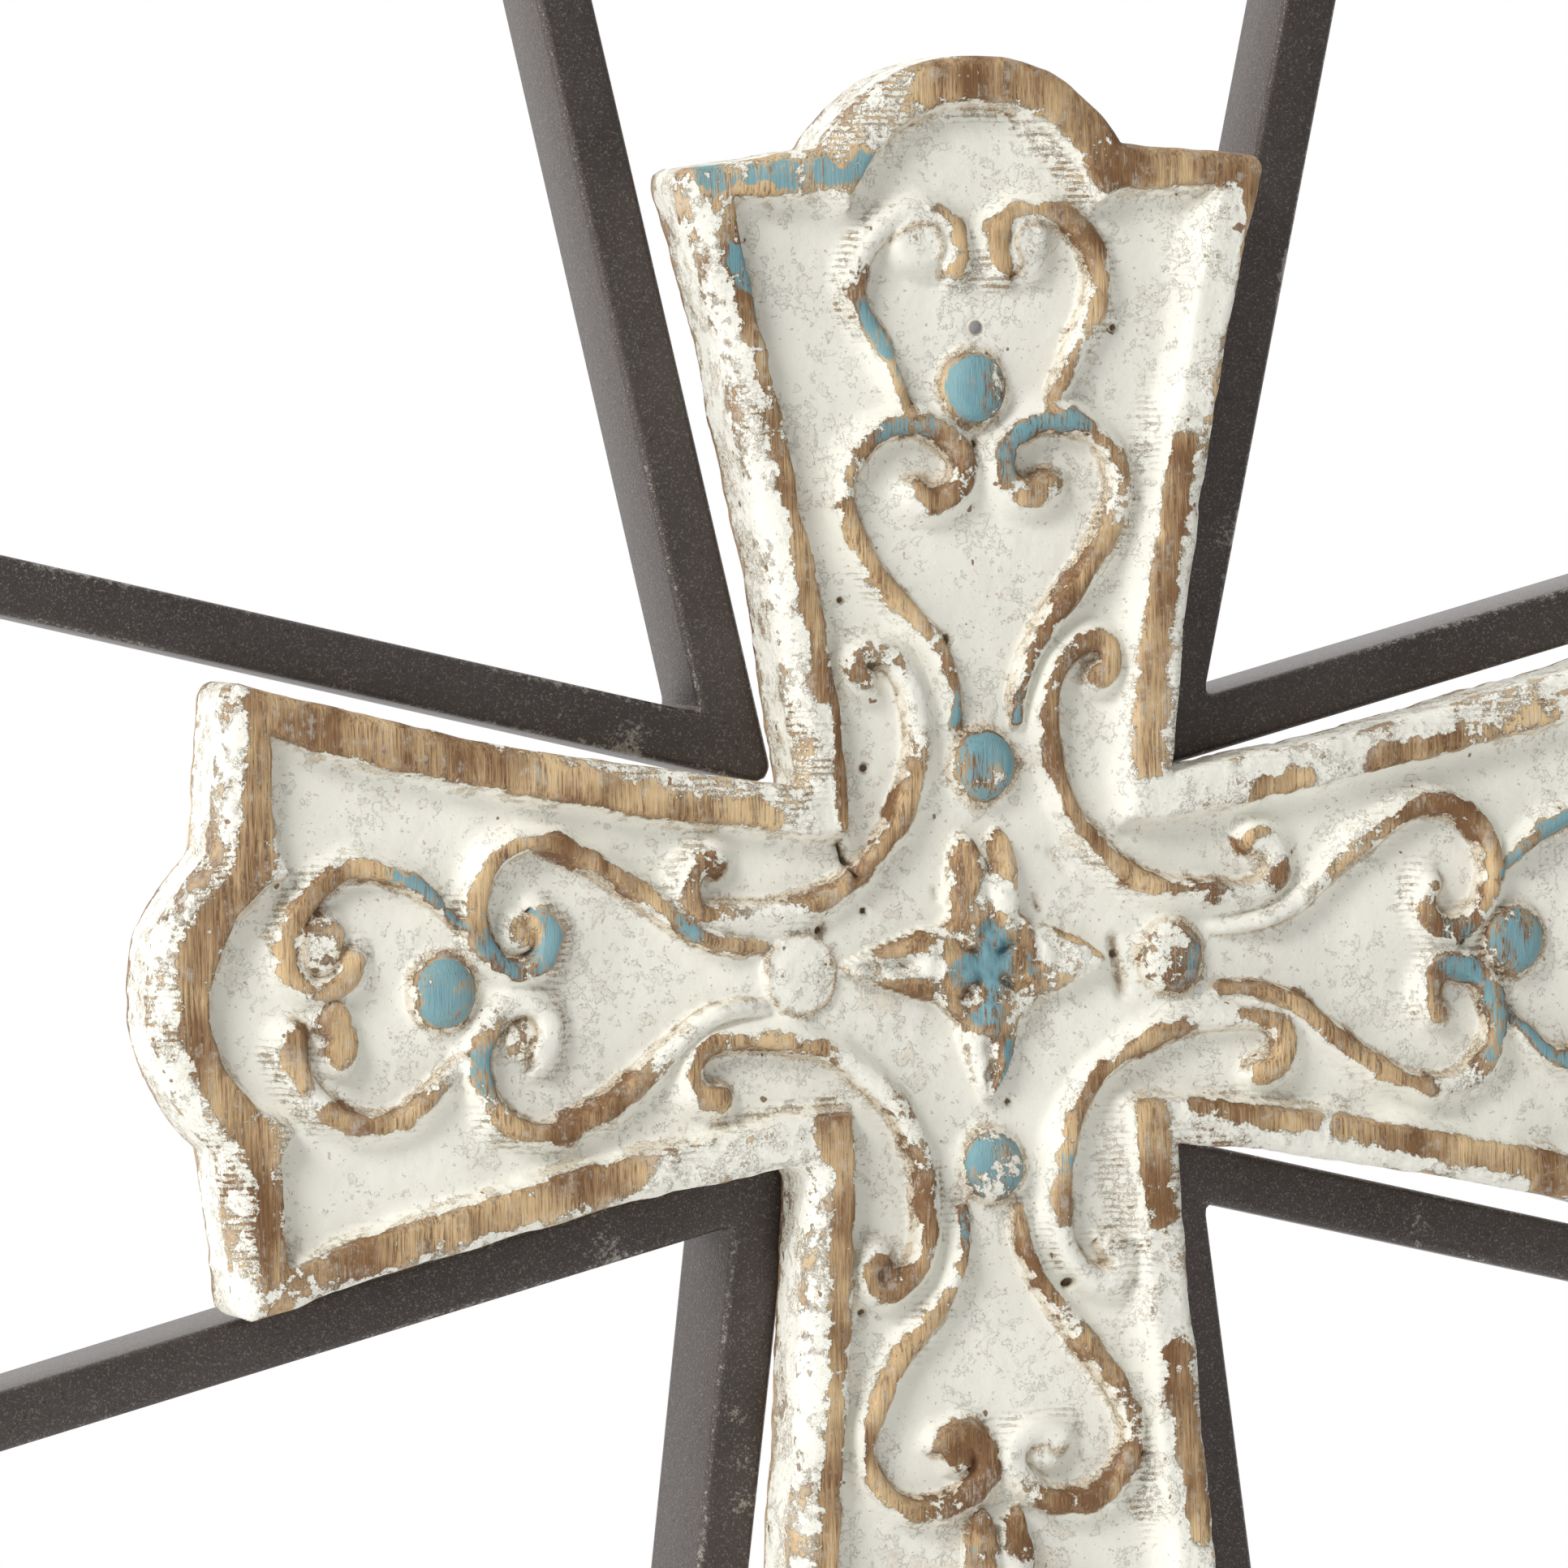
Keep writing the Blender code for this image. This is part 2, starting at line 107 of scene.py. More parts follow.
# Carving on the sunk panel.
WALL_RUN = 1.5 * MM
INNER_STUD_REACH = 46.5 * MM
OUTER_STUD_REACH = 134.0 * MM
STUD_WIDTH = 8.1 * MM
STUD_LENGTH = 8.7 * MM
STUD_HEIGHT = 5.4 * MM
LOWER_MOTIF_SHIFT = 136.0 * MM
LOWER_ROSETTE_REACH = 158.0 * MM
BOSS_RADIUS = 11.4 * MM
BOSS_HEIGHT = 5.6 * MM
COLLAR_RADIUS = 12.2 * MM
COLLAR_HEIGHT = 4.4 * MM
LEAF_HEIGHT = 5.3 * MM

# Scrolls as tangent arcs in an arm's own plan, in millimetres and degrees:
# a start point, a heading, then (radius, turn) for each arc.
HEART = ((6.9, 56.0), 93, ((32.0, -47), (84.0, 20), (15.7, 168), (6.9, 165)))
LYRE = ((16.6, 128.7), 65, ((500.0, -2.75), (17.0, 118), (8.3, 165)))
SIDE_LYRE = ((16.0, 130.0), 47, ((500.0, 1.4), (19.5, 132), (7.6, 165)))
CORNER = ((29.6, 66.7), 23, ((4.2, 176), (14.3, 58), (40.8, 101), (92.0, 8), (6.4, 175)))

# How far apart the points of the plan stand, and how near they may come to an edge.
LINE_STEP = 0.8 * MM
ARM_POINTS = 60
EDGE_STEP = 1.25 * MM
SCROLL_STEP = 1.15 * MM
FLOOR_STEP = 1.7 * MM
ROSETTE_STEP = 0.8 * MM
ROW_SHARE = 0.87
JITTER = 0.2
CLOSEST = 0.42 * MM
EDGE_GAP = 0.3 * MM
MEASURED_REACH = 9.0 * MM
BACK_STEP = 22.0 * MM
BACK_GAP = 4 * MM
SIDE_ROWS = 6

# Where rows of points follow a line or ring a feature: offsets and radii in plan millimetres,
# shares of a feature's size, and the half size of the patch over a rosette.
OUTLINE_DEPTHS = (0.5, 1.3, 2.6, 4.0)
PANEL_OFFSETS = (-2.2, -1.3, -0.6, 0.0, 0.7, 1.6)
SCROLL_OFFSETS = (1.1, 1.9, 2.6, 3.4, 4.6)
SCROLL_END_RADII = (1.3, 2.3, 3.2, 4.2)
STUD_SHARES = (0.25, 0.5, 0.72, 0.86, 0.98, 1.1, 1.25)
PIT_SHARES = (0.0, 0.5, 0.9, 1.4)
NAIL_SHARES = (0.0, 0.45, 0.8, 1.0, 1.15, 1.5)
ROSETTE_CORNER = np.array([36.0 * MM, 36.0 * MM])
ROSETTE_HALF = (38, 34)

# How the noise repeats, how lines are measured, and where the wood's shading breaks.
NOISE_CELLS = 128
SEGMENTS_AT_ONCE = 16
SAME_POINT = 1e-7
WOOD_CREASE = math.radians(70)

ARM_TURNS = {"top": 0, "left": 90, "bottom": 180, "right": 270}

# Finishes, as how bare the wood is worn and how much blue is left on it.
FINISHES = {
    "bare": (1.0, 0.0),
    "part": (0.62, 0.0),
    "white": (0.24, 0.0),
    "blue": (0.92, 1.1),
    "green": (0.8, 0.85),
    "streaky": (0.74, 1.1),
    "patchy": (0.62, 0.75),
}

# The finish along each scroll, a letter for each tenth of its length from its start:
# n bare wood, m part bare, w white paint, b blue paint, g blue worn thin.
LETTER_FINISHES = {
    "n": (1.0, 0.0), "m": (0.62, 0.0), "w": (0.22, 0.0), "b": (0.92, 1.06), "g": (0.8, 0.72),
}
SCROLL_FINISH = {
    "top_heart_left": "bmnnnmbbmn",
    "top_heart_right": "bmnnmmbbbg",
    "top_lyre_left": "gbbbmwwwnn",
    "top_lyre_right": "ggmnnnnnnn",
    "left_heart_left": "wwmnnnbbww",
    "left_heart_right": "gbgnnnnbbb",
    "left_lyre_left": "wmnnnnnwnn",
    "left_lyre_right": "bbbnnnnnmn",
    "right_heart_left": "wwmmnnnnbg",
    "right_heart_right": "nnnnnwbbbg",
    "right_lyre_left": "bbbbmnnnnn",
    "right_lyre_right": "bbbbmnnnnn",
    "bottom_heart_right": "bmnnnnnmnn",
    "bottom_heart_left": "nnmnmnnnww",
    "corner_top_left": "mmwnnnnwgg",
    "corner_top_right": "nmnnnnnmwn",
    "corner_bottom_left": "nnnmmwnmnn",
    "corner_bottom_right": "wwmbnnnwnn",
}
PLAIN_FINISH = "mnnnnmbgnn"

# A scroll's own shift from its pattern in plan millimetres, as the carver set it out by eye, and
# the share of its line that was carved.
SCROLL_SHIFT = {
    "top_heart_right": (2.0, 0.5),
    "top_lyre_right": (2.5, 0.0),
    "right_heart_left": (2.5, -1.0),
    "right_heart_right": (3.0, -1.2),
}
SCROLL_CUT = {"left_lyre_left": 0.74, "top_lyre_left": 0.93, "top_lyre_right": 0.93}
MIRRORED_CORNERS = ("corner_top_left", "corner_bottom_right")

# Lumps left in the curls: middle, half widths and height in plan millimetres, and the finish.
CURL_BLOBS = (
    ((-13, 168), (8.5, 8.0), 4.6, "white"),
    ((13.5, 167), (5.5, 8.5), 4.4, "white"),
    ((-163.5, 12), (6.5, 7.5), 4.4, "part"),
    ((-161, -5), (4.5, 4.5), 5.2, "bare"),
    ((-159.5, -11), (4.2, 7.0), 5.2, "bare"),
    ((-115, 13), (4.5, 5.0), 3.0, "part"),
    ((-115.5, -11.5), (5.0, 5.5), 3.4, "part"),
    ((-11, -113), (3.8, 4.5), 4.8, "bare"),
    ((12, -113), (4.5, 5.0), 3.6, "white"),
    ((71, 24), (5.0, 4.0), 3.2, "white"),
    ((-27, -71), (3.5, 4.5), 3.6, "part"),
)

# The rosette's leaves from its middle: start, tip, half width, bluntness and groove.
ROSETTE_LEAVES = (
    ((-3.5, 6), (-5.5, 33), 5.4, 5.0, 0.0),
    ((4.0, 6), (3.6, 33), 4.6, 5.0, 0.0),
    ((-8, 1), (-38, 1), 10.0, 1.5, 0.55),
    ((8, 1), (31, 0), 9.5, 1.7, 0.2),
    ((0, -8), (-1, -33), 8.5, 1.9, 0.5),
)
# Worn places on the rosette, from its middle: kind, one end, the other end and half width.
ROSETTE_WEAR = (
    ("bare", (-6, 27), (-6, 18), 3.5),
    ("bare", (3, 29), (4, 20), 3.5),
    ("green", (-7, 22), (-7, 19), 2.0),
    ("green", (5, 21), (6, 19), 2.0),
    ("white", (0, 19), (4, 15), 3.0),
    ("bare", (-8, 14), (-8, 10), 3.0),
    ("bare", (8, 12), (13, 3), 3.0),
    ("part", (4, 10), (10, 9), 2.5),
    ("bare", (-9, 5), (-9, -5), 3.0),
    ("blue", (0, 6), (-1, -9), 7.5),
    ("blue", (-7, -1), (7, -1), 6.0),
    ("bare", (7, 2), (8, -4), 1.5),
    ("part", (-4, -6), (-7, -8), 2.5),
    ("green", (-12, -10), (-9, -14), 1.8),
    ("green", (-3, -16), (0, -16), 1.8),
    ("blue", (4, -19), (3, -28), 2.4),
    ("white", (-3, -18), (-4, -26), 2.6),
    ("bare", (-26, 6), (-18, 6.5), 3.4),
    ("bare", (-24, -4.5), (-18, -6), 3.6),
    ("white", (-15, 1), (-34, 1), 2.6),
    ("white", (14, 5), (24, -2), 4.0),
    ("bare", (19, 8), (30, 2), 1.8),
)

# Cracks and gouges in plan millimetres: start, end, half width and depth.
CRACKS = (
    ((-35.5, 29), (-33, 22), 0.8, 2.4),
    ((17.5, 25.5), (21, 21.5), 1.3, 0.8),
    ((33, 4.5), (34.5, -8), 1.7, 1.6),
    ((13, 15.5), (14, 12.5), 0.9, 1.6),
    ((-39.5, 11), (-41, 9), 1.3, 1.6),
    ((-12, 18), (-11.5, 16), 0.8, 1.2),
)

# Studs that were worn lower than the rest, and those that aren't plain blue.
STUD_RISE = {"left_inner": 0.4, "right_inner": 0.85}
STUD_FINISH = {"left_inner": "white", "right_inner": "patchy", "bottom_inner": "streaky"}

# Worn places on the rim in plan millimetres: kind, one end, the other end and the half width.
RIM_WEAR = (
    ("blue", (-67, 183), (-29, 186), 5.5),
    ("blue", (-65, 183), (-57, 150), 5.5),
    ("green", (-56, 150), (-51, 116), 4),
    ("part", (-62, 178), (-60, 170), 1.8),
    ("bare", (-59, 156), (-58, 149), 1.8),
    ("bare", (-58, 181), (-52, 181), 1.6),
    ("bare", (-77, 187), (-72, 172), 4),
    ("bare", (-47, 116), (-42, 66), 4.5),
    ("bare", (-37, 60), (-35, 32), 3),
    ("part", (-75, 169), (-62, 120), 3),
    ("bare", (-11, 204), (4, 208), 6),
    ("bare", (4, 208), (22, 202), 7),
    ("bare", (22, 202), (33, 186), 6),
    ("bare", (33, 184), (72, 185), 6),
    ("bare", (70, 183), (66, 150), 2),
    ("part", (66, 150), (57, 118), 3),
    ("bare", (50, 118), (43, 80), 4),
    ("bare", (42, 74), (40, 46), 4),
    ("bare", (-176, 66), (-143, 57), 7),
    ("bare", (-143, 57), (-85, 40), 6),
    ("bare", (-85, 40), (-56, 36), 5),
    ("bare", (-176, 64), (-182, 33), 6.5),
    ("bare", (-182, 33), (-194, 16), 6.5),
    ("bare", (-194, 16), (-196, -2), 6.5),
    ("bare", (-196, -2), (-184, -28), 6.5),
    ("bare", (-184, -28), (-179, -68), 7),
    ("part", (-180, -67), (-150, -56), 5),
    ("bare", (-156, -58), (-91, -43), 5),
    ("part", (-80, -37), (-72, -37), 2),
    ("bare", (69, 38), (79, 40), 4),
    ("bare", (99, 43), (124, 48), 4),
    ("part", (124, 48), (170, 62), 5),
    ("bare", (51, -34), (78, -39), 4),
    ("bare", (88, -41), (140, -54), 4),
    ("bare", (140, -54), (184, -66), 6),
    ("bare", (184, -66), (188, -30), 6),
    ("bare", (188, 30), (184, 66), 6),
    ("part", (188, -30), (202, 0), 6),
    ("bare", (-40.5, -30), (-41.5, -63), 5.5),
    ("bare", (-41.5, -63), (-46, -134), 4.8),
    ("bare", (-46, -134), (-53, -195), 5),
    ("part", (-52, -190), (-60, -290), 5),
    ("bare", (37.5, -32), (40, -60), 4.5),
    ("bare", (43.5, -92), (49, -135), 3.5),
    ("part", (50, -150), (62, -300), 5),
    ("bare", (-70, -322), (-36, -322), 6),
    ("blue", (34, -322), (66, -322), 5),
    ("bare", (-20, -340), (20, -340), 6),
)

# Old knots and holes in plan millimetres: middle, half width and depth.
PITS = (
    ((-8, 76), 1.6, 1.3),
    ((-29, 47), 1.3, 1.5),
    ((-41, 10), 1.1, 0.9),
    ((-33, -79), 1.0, 0.9),
    ((36, -116), 1.0, 1.0),
    ((36, 147), 1.1, 1.0),
    ((78, 23), 0.8, 0.8),
    ((5, -32), 1.1, 0.8),
    ((-34, 86), 1.0, 0.8),
    ((0, 121), 1.3, 2.6),
    ((19, -75), 1.5, 2.8),
    ((121, 0), 1.1, 1.6),
    ((33, 1), 1.2, 1.0),
    ((-30, 14), 1.0, 1.2),
)

# A nail's head stands out of the top arm.
NAIL_PLACE = (1.0 * MM, 148.0 * MM)
NAIL_RADIUS = 1.7 * MM
NAIL_GREY = (0.30, 0.30, 0.31, 1.0)

# How far the grain is drawn out upright, and how closely its torn rows follow each other.
GRAIN_STRETCH = (1.0, 1.0, 0.055)
TEETH_SCALE = 4000.0

# Steel frame in plan, from the same middle.
FRAME_SIDE_REACH = 305.0 * MM
FRAME_TOP_REACH = 305.0 * MM
FRAME_BOTTOM_REACH = 508.0 * MM
FRAME_END_HALF = 102.0 * MM
FRAME_NECK_X = 46.1 * MM
FRAME_NECK_Y = 42.0 * MM
TUBE_FACE = 13.3 * MM
TUBE_DEPTH = 24.5 * MM
LOWER_LEFT_SLIP = 1.0 * MM
LOWER_LEFT_LEAN = 3.6 * MM
BEND_RADII = (4.0 * MM, 1.2 * MM)
BEND_STEPS = 6
BEVEL_SEGMENTS = 3
BEVELLED_ANGLE = math.radians(20)
TUBE_CREASE = math.radians(35)
LEAN_REACHES = (130.0 * MM, 30.0 * MM)
SAME_PLACE = 1e-6

# Pale rubbed places on the frame's front in plan millimetres: x, y and reach.
RUBBED_PLACES = (
    (-80, 54, 7), (-61, 48, 5), (-88, -62, 8), (-58, -103, 5), (-56, -114, 6), (-56, -124, 5),
    (71, 99, 7), (87, 160, 9), (116, -66, 9), (-150, 70, 6),
)
FRAME_NODES = sorted(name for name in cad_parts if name.startswith("frame_"))

# Camera at the photograph's viewing angle.
CAMERA_PLACE = (-0.9943, -2.4786, -0.1251)
CAMERA_TURN = (87.165, 0.943, -21.233)
CAMERA_LENS = 260.87
SENSOR_WIDTH = 36.0

# Stage: the floor's half width, and each light's place, share of the main power and size.
FLOOR_REACH = 2.2
LIGHTS = {
    "key_light": ((-2.0, -1.5, 1.6), 1.0, 0.9),
    "side_light": ((-2.4, -0.6, 0.0), 0.35, 1.4),
}
LIGHTS_AIM = (0.0, 0.0, -0.3)

Near = namedtuple("Near", "distance along sign left")
Scroll = namedtuple("Scroll", "line letters curl")


def length(name, description, default):
    """A property for a length."""
    return FloatProperty(
        name=name, description=description, default=default, subtype="DISTANCE", unit="LENGTH"
    )


def tint(name, description, default):
    """A property for a colour."""
    return FloatVectorProperty(
        name=name, description=description, default=default, subtype="COLOR", size=3, min=0.0, max=1.0
    )


class WALLCROSS_PG_wood(bpy.types.PropertyGroup):
    """Sizes and colours of the wooden cross."""

    thickness: length("Thickness", "Thickness of the board", 0.0222)
    rim_width: length("Rim width", "Width of the raised rim", 0.0110)
    panel_depth: length("Panel depth", "How far the panel is sunk below the rim", 0.0065)
    scroll_half_width: length("Scroll half width", "Half the width of a scroll ridge", 0.0026)
    scroll_height: length("Scroll height", "Height of a scroll above the panel", 0.0049)
    paint: tint("White paint", "Colour of the cream-white paint", (0.875, 0.86, 0.77))
    blue: tint("Blue paint", "Colour of the blue under the white", (0.175, 0.385, 0.445))
    light_wood: tint("Light wood", "Colour of freshly worn wood", (0.67, 0.485, 0.27))
    # Dark wood also paints the shade, with dirt, in the deepest cuts and holes.
    dark_wood: tint("Dark wood", "Colour of stained wood and of dirt in the cuts", (0.175, 0.088, 0.036))


class WALLCROSS_PG_steel(bpy.types.PropertyGroup):
    """Sizes and colours of the steel frame."""

    edge_radius: length("Edge radius", "Rounding of the tube's long edges", 0.0018)
    bronze: tint("Bronze", "Colour of the dark finish", (0.082, 0.069, 0.065))
    # The rubbed colour also paints the sheen along the bevelled edges.
    rubbed: tint("Rubbed", "Colour of the rubbed metal", (0.42, 0.39, 0.34))


class WALLCROSS_PG_stage(bpy.types.PropertyGroup):
    """Lights and floor."""

    key_power: FloatProperty(
        name="Key light", description="Power of the main soft light", default=53.0, min=0.0, unit="POWER"
    )
    sky: FloatProperty(
        name="Sky", description="Strength of the even light from all round", default=0.39, min=0.0
    )
    backdrop: FloatProperty(
        name="Backdrop", description="Strength of the light from behind the cross", default=1.5, min=0.0
    )
    floor_drop: length("Floor drop", "Height of the cross above the floor", 0.30)


def smoothstep(low, high, value):
    """0 up to low, 1 from high on, and smooth between."""
    share = np.clip((value - low) / (high - low), 0.0, 1.0)
    return share * share * (3.0 - 2.0 * share)


def noise(points, wavelength, seed):
    """Smooth random values from -1 to 1 over the plan, with bumps about a wavelength across."""
    values = np.random.default_rng(seed).uniform(-1.0, 1.0, (NOISE_CELLS, NOISE_CELLS))
    scaled = points / wavelength
    cell = np.floor(scaled).astype(int)
    part = scaled - cell
    part = part * part * (3.0 - 2.0 * part)
    x0, y0 = cell[:, 0] % NOISE_CELLS, cell[:, 1] % NOISE_CELLS
    x1, y1 = (x0 + 1) % NOISE_CELLS, (y0 + 1) % NOISE_CELLS
    low = values[x0, y0] * (1 - part[:, 0]) + values[x1, y0] * part[:, 0]
    high = values[x0, y1] * (1 - part[:, 0]) + values[x1, y1] * part[:, 0]
    return low * (1 - part[:, 1]) + high * part[:, 1]


def wander(points, amount, wavelength, seed):
    """The same points, moved a little as a hand tool wanders."""
    shift = np.stack([noise(points, wavelength, seed), noise(points, wavelength, seed + 1)], axis=1)
    return points + amount * shift


def resample(line, step):
    """Points along a line at an even step."""
    lengths = np.hypot(*np.diff(line, axis=0).T)
    travelled = np.concatenate(([0.0], np.cumsum(lengths)))
    count = max(2, int(round(travelled[-1] / step)) + 1)
    wanted = np.linspace(0.0, travelled[-1], count)
    return np.stack([np.interp(wanted, travelled, line[:, axis]) for axis in (0, 1)], axis=1)


def sideways(line):
    """Unit vectors to the left of a line, at each of its points."""
    along = np.gradient(line, axis=0)
    along /= np.hypot(along[:, 0], along[:, 1])[:, None]
    return np.stack([-along[:, 1], along[:, 0]], axis=1)


def eased(line, corner):
    """A closed line with one of its corners eased, by averaging the points near it."""
    loop = line[:-1]
    shifts = range(-NECK_EASE_POINTS, NECK_EASE_POINTS + 1)
    smooth = np.mean([np.roll(loop, shift, axis=0) for shift in shifts], axis=0)
    away = np.hypot(*(loop - corner).T)
    share = smoothstep(NECK_EASE_REACH, 0.6 * NECK_EASE_REACH, away)[:, None]
    loop = loop * (1 - share) + smooth * share
    return np.concatenate([loop, loop[:1]])


def arc_line(centre, radius, start, end):
    """Points along an arc between two angles."""
    count = max(3, int(abs(end - start) * radius / LINE_STEP))
    angles = np.linspace(start, end, count)
    return np.stack([centre[0] + radius * np.cos(angles), centre[1] + radius * np.sin(angles)], axis=1)


def rounded(before, corner, after, radius):
    """The arc that rounds a corner between two straight lines."""
    back = np.subtract(before, corner)
    ahead = np.subtract(after, corner)
    back = back / np.hypot(*back)
    ahead = ahead / np.hypot(*ahead)
    half_angle = math.acos(float(np.clip(back @ ahead, -1.0, 1.0))) / 2
    middle = back + ahead
    centre = corner + middle / np.hypot(*middle) * (radius / math.sin(half_angle))
    first = corner + back * radius / math.tan(half_angle) - centre
    last = corner + ahead * radius / math.tan(half_angle) - centre
    start = math.atan2(first[1], first[0])
    sweep = math.remainder(math.atan2(last[1], last[0]) - start, math.tau)
    return arc_line(centre, radius, start, start + sweep)


def side_half_width(reach, neck_half, neck_reach, tip_reach):
    """Half the width of a flared arm at a reach from the middle of the cross."""
    share = np.maximum(0.0, (reach - neck_reach) / (tip_reach - neck_reach))
    curve = FLARE_STRAIGHT_SHARE * share + (1 - FLARE_STRAIGHT_SHARE) * share**2
    return neck_half + (TIP_HALF - neck_half) * curve


def arm_line(neck_half, neck_reach, shoulder, set_back, inset, start_reach):
    """The right half of one arm, from its neck to the top of the bulge, inset by a distance."""
    tip_reach = shoulder - TIP_DROP
    end_reach = shoulder - inset if inset else tip_reach
    reaches = np.linspace(start_reach, end_reach, ARM_POINTS)
    halves = side_half_width(reaches, neck_half, neck_reach, tip_reach) - inset
    side = np.stack([halves, reaches], axis=1)
    bulge_centre = (0.0, shoulder - set_back)
    bulge = BULGE_RADIUS - inset
    rise = set_back - inset - (CUSP_DROP if inset else 0.0)
    foot_angle = math.asin(rise / bulge)
    foot = (bulge * math.cos(foot_angle), bulge_centre[1] + rise)
    if inset:
        middle = [np.array([[foot[0] + CUSP_RUN, shoulder - inset]])]
    else:
        middle = [rounded(side[-9], side[-1], foot, TIP_RADIUS)]
        side = side[:-2]
    return np.concatenate([side, *middle, arc_line(bulge_centre, bulge, foot_angle, math.pi / 2)])


def neck_corner(inset):
    """Where the sides of an upright arm and a side arm meet, both inset by a distance."""
    return NECK_X - inset, NECK_Y - inset


def cross_line(inset):
    """The closed outline of the wooden cross, or of the panel inside its rim, clockwise."""
    corner_x, corner_y = neck_corner(inset)
    top = arm_line(NECK_X, NECK_Y, TOP_ARM, TOP_BULGE_SET_BACK, inset, corner_y)
    side = arm_line(NECK_Y, NECK_X, SIDE_ARM, SIDE_BULGE_SET_BACK, inset, corner_x)
    bottom = arm_line(NECK_X, NECK_Y, BOTTOM_ARM, TOP_BULGE_SET_BACK, inset, corner_y)
    right_half = np.concatenate([
        top[::-1],
        side[1:, ::-1],
        side[-2::-1, ::-1] * (1, -1),
        bottom[1:] * (1, -1),
    ])
    left_half = right_half[-2:0:-1] * (-1, 1)
    return np.concatenate([right_half, left_half, right_half[:1]])


def scroll_line(chain):
    """The middle line of a scroll made of tangent arcs, in metres."""
    (x, y), heading, arcs = chain
    heading = math.radians(heading)
    place = np.array([x, y]) * MM
    pieces = []
    for radius, degrees in arcs:
        turn = math.radians(degrees)
        side = math.copysign(1.0, turn)
        radius = radius * MM
        centre = place + side * radius * np.array([-math.sin(heading), math.cos(heading)])
        start = heading - side * math.pi / 2
        piece = arc_line(centre, radius, start, start + turn)
        pieces.append(piece if not pieces else piece[1:])
        place = piece[-1]
        heading += turn
    return np.concatenate(pieces)


def turned(points, degrees):
    """Plan points turned about the middle, anticlockwise."""
    angle = math.radians(degrees)
    turn = np.array([[math.cos(angle), -math.sin(angle)], [math.sin(angle), math.cos(angle)]])
    return points @ turn.T


def all_scrolls():
    """Every scroll by name: its middle line, the letters of its finish and the side of its hollow."""
    scrolls = {}
    for arm, degrees in ARM_TURNS.items():
        shift = np.array([0.0, LOWER_MOTIF_SHIFT if arm == "bottom" else 0.0])
        lyre = SIDE_LYRE if arm in ("left", "right") else LYRE
        for side, sign in (("left", -1), ("right", 1)):
            lines = {
                f"{arm}_heart_{side}": scroll_line(HEART),
                f"{arm}_lyre_{side}": scroll_line(lyre) + shift,
            }
            if arm == "bottom":
                lines[f"{arm}_outer_heart_{side}"] = scroll_line(HEART) + shift
            for name, line in lines.items():
                scrolls[name] = turned(line * (sign, 1), degrees)
    for name, signs in {
        "corner_top_right": (1, 1),
        "corner_top_left": (-1, 1),
        "corner_bottom_left": (-1, -1),
        "corner_bottom_right": (1, -1),
    }.items():
        scrolls[name] = scroll_line(CORNER) * signs
    made = {}
    for index, (name, line) in enumerate(scrolls.items()):
        line = line + np.array(SCROLL_SHIFT.get(name, (0.0, 0.0))) * MM
        line = wander(resample(line, LINE_STEP), 0.6 * MM, 13 * MM, 40 + index)
        line = line[:int(len(line) * SCROLL_CUT.get(name, 1.0))]
        mirrored = name.endswith("_left") if "corner" not in name else name in MIRRORED_CORNERS
        made[name] = Scroll(line, SCROLL_FINISH.get(name, PLAIN_FINISH), -1 if mirrored else 1)
    return made


def all_studs():
    """Every stud by name: its middle in plan and its finish."""
    studs = {}
    for arm, degrees in ARM_TURNS.items():
        outer = OUTER_STUD_REACH + (LOWER_MOTIF_SHIFT if arm == "bottom" else 0.0)
        for place, reach in (("inner", INNER_STUD_REACH), ("outer", outer)):
            middle = turned(np.array([[0.0, reach]]), degrees)[0]
            studs[f"{arm}_{place}"] = (middle, STUD_FINISH.get(f"{arm}_{place}", "blue"))
    return studs


def measure(points, line):
    """For each point near a line: how far off it is, how far along, and the way to the line's left.

    Also given is a sign, 1 where the point lies left of the line and -1 where it lies right.
    """
    distance = np.full(len(points), MEASURED_REACH)
    along = np.zeros(len(points))
    sign = np.ones(len(points))
    left = np.zeros((len(points), 2))
    steps = np.diff(line, axis=0)
    squares = np.maximum((steps**2).sum(axis=1), 1e-16)
    lengths = np.sqrt(squares)
    travelled = np.concatenate(([0.0], np.cumsum(lengths)))
    for first in range(0, len(steps), SEGMENTS_AT_ONCE):
        part = slice(first, min(first + SEGMENTS_AT_ONCE, len(steps)))
        corners = line[first:part.stop + 1]
        low = corners.min(axis=0) - MEASURED_REACH
        high = corners.max(axis=0) + MEASURED_REACH
        near = np.flatnonzero(((points > low) & (points < high)).all(axis=1))
        if not len(near):
            continue
        offset = points[near, None] - line[part]
        share = np.clip((offset * steps[part]).sum(axis=2) / squares[part], 0.0, 1.0)
        gap = offset - share[..., None] * steps[part]
        apart = np.hypot(gap[..., 0], gap[..., 1])
        rows = np.arange(len(near))
        best = apart.argmin(axis=1)
        closer = apart[rows, best] < distance[near]
        rows, chosen, best = rows[closer], near[closer], best[closer]
        distance[chosen] = apart[rows, best]
        along[chosen] = travelled[first + best] + share[rows, best] * lengths[first + best]
        step = steps[first + best]
        cross = step[:, 0] * gap[rows, best, 1] - step[:, 1] * gap[rows, best, 0]
        sign[chosen] = np.where(cross < 0, -1.0, 1.0)
        left[chosen] = np.stack([-step[:, 1], step[:, 0]], axis=1) / lengths[first + best, None]
    return Near(distance, along, sign, left)


def inside(points, line):
    """Whether each point lies inside a closed line."""
    result = np.zeros(len(points), bool)
    px, py = points[:, 0], points[:, 1]
    for (x0, y0), (x1, y1) in zip(line[:-1], line[1:]):
        spans = (y0 > py) != (y1 > py)
        if y1 != y0:
            result ^= spans & (px < (x1 - x0) * (py - y0) / (y1 - y0) + x0)
    return result


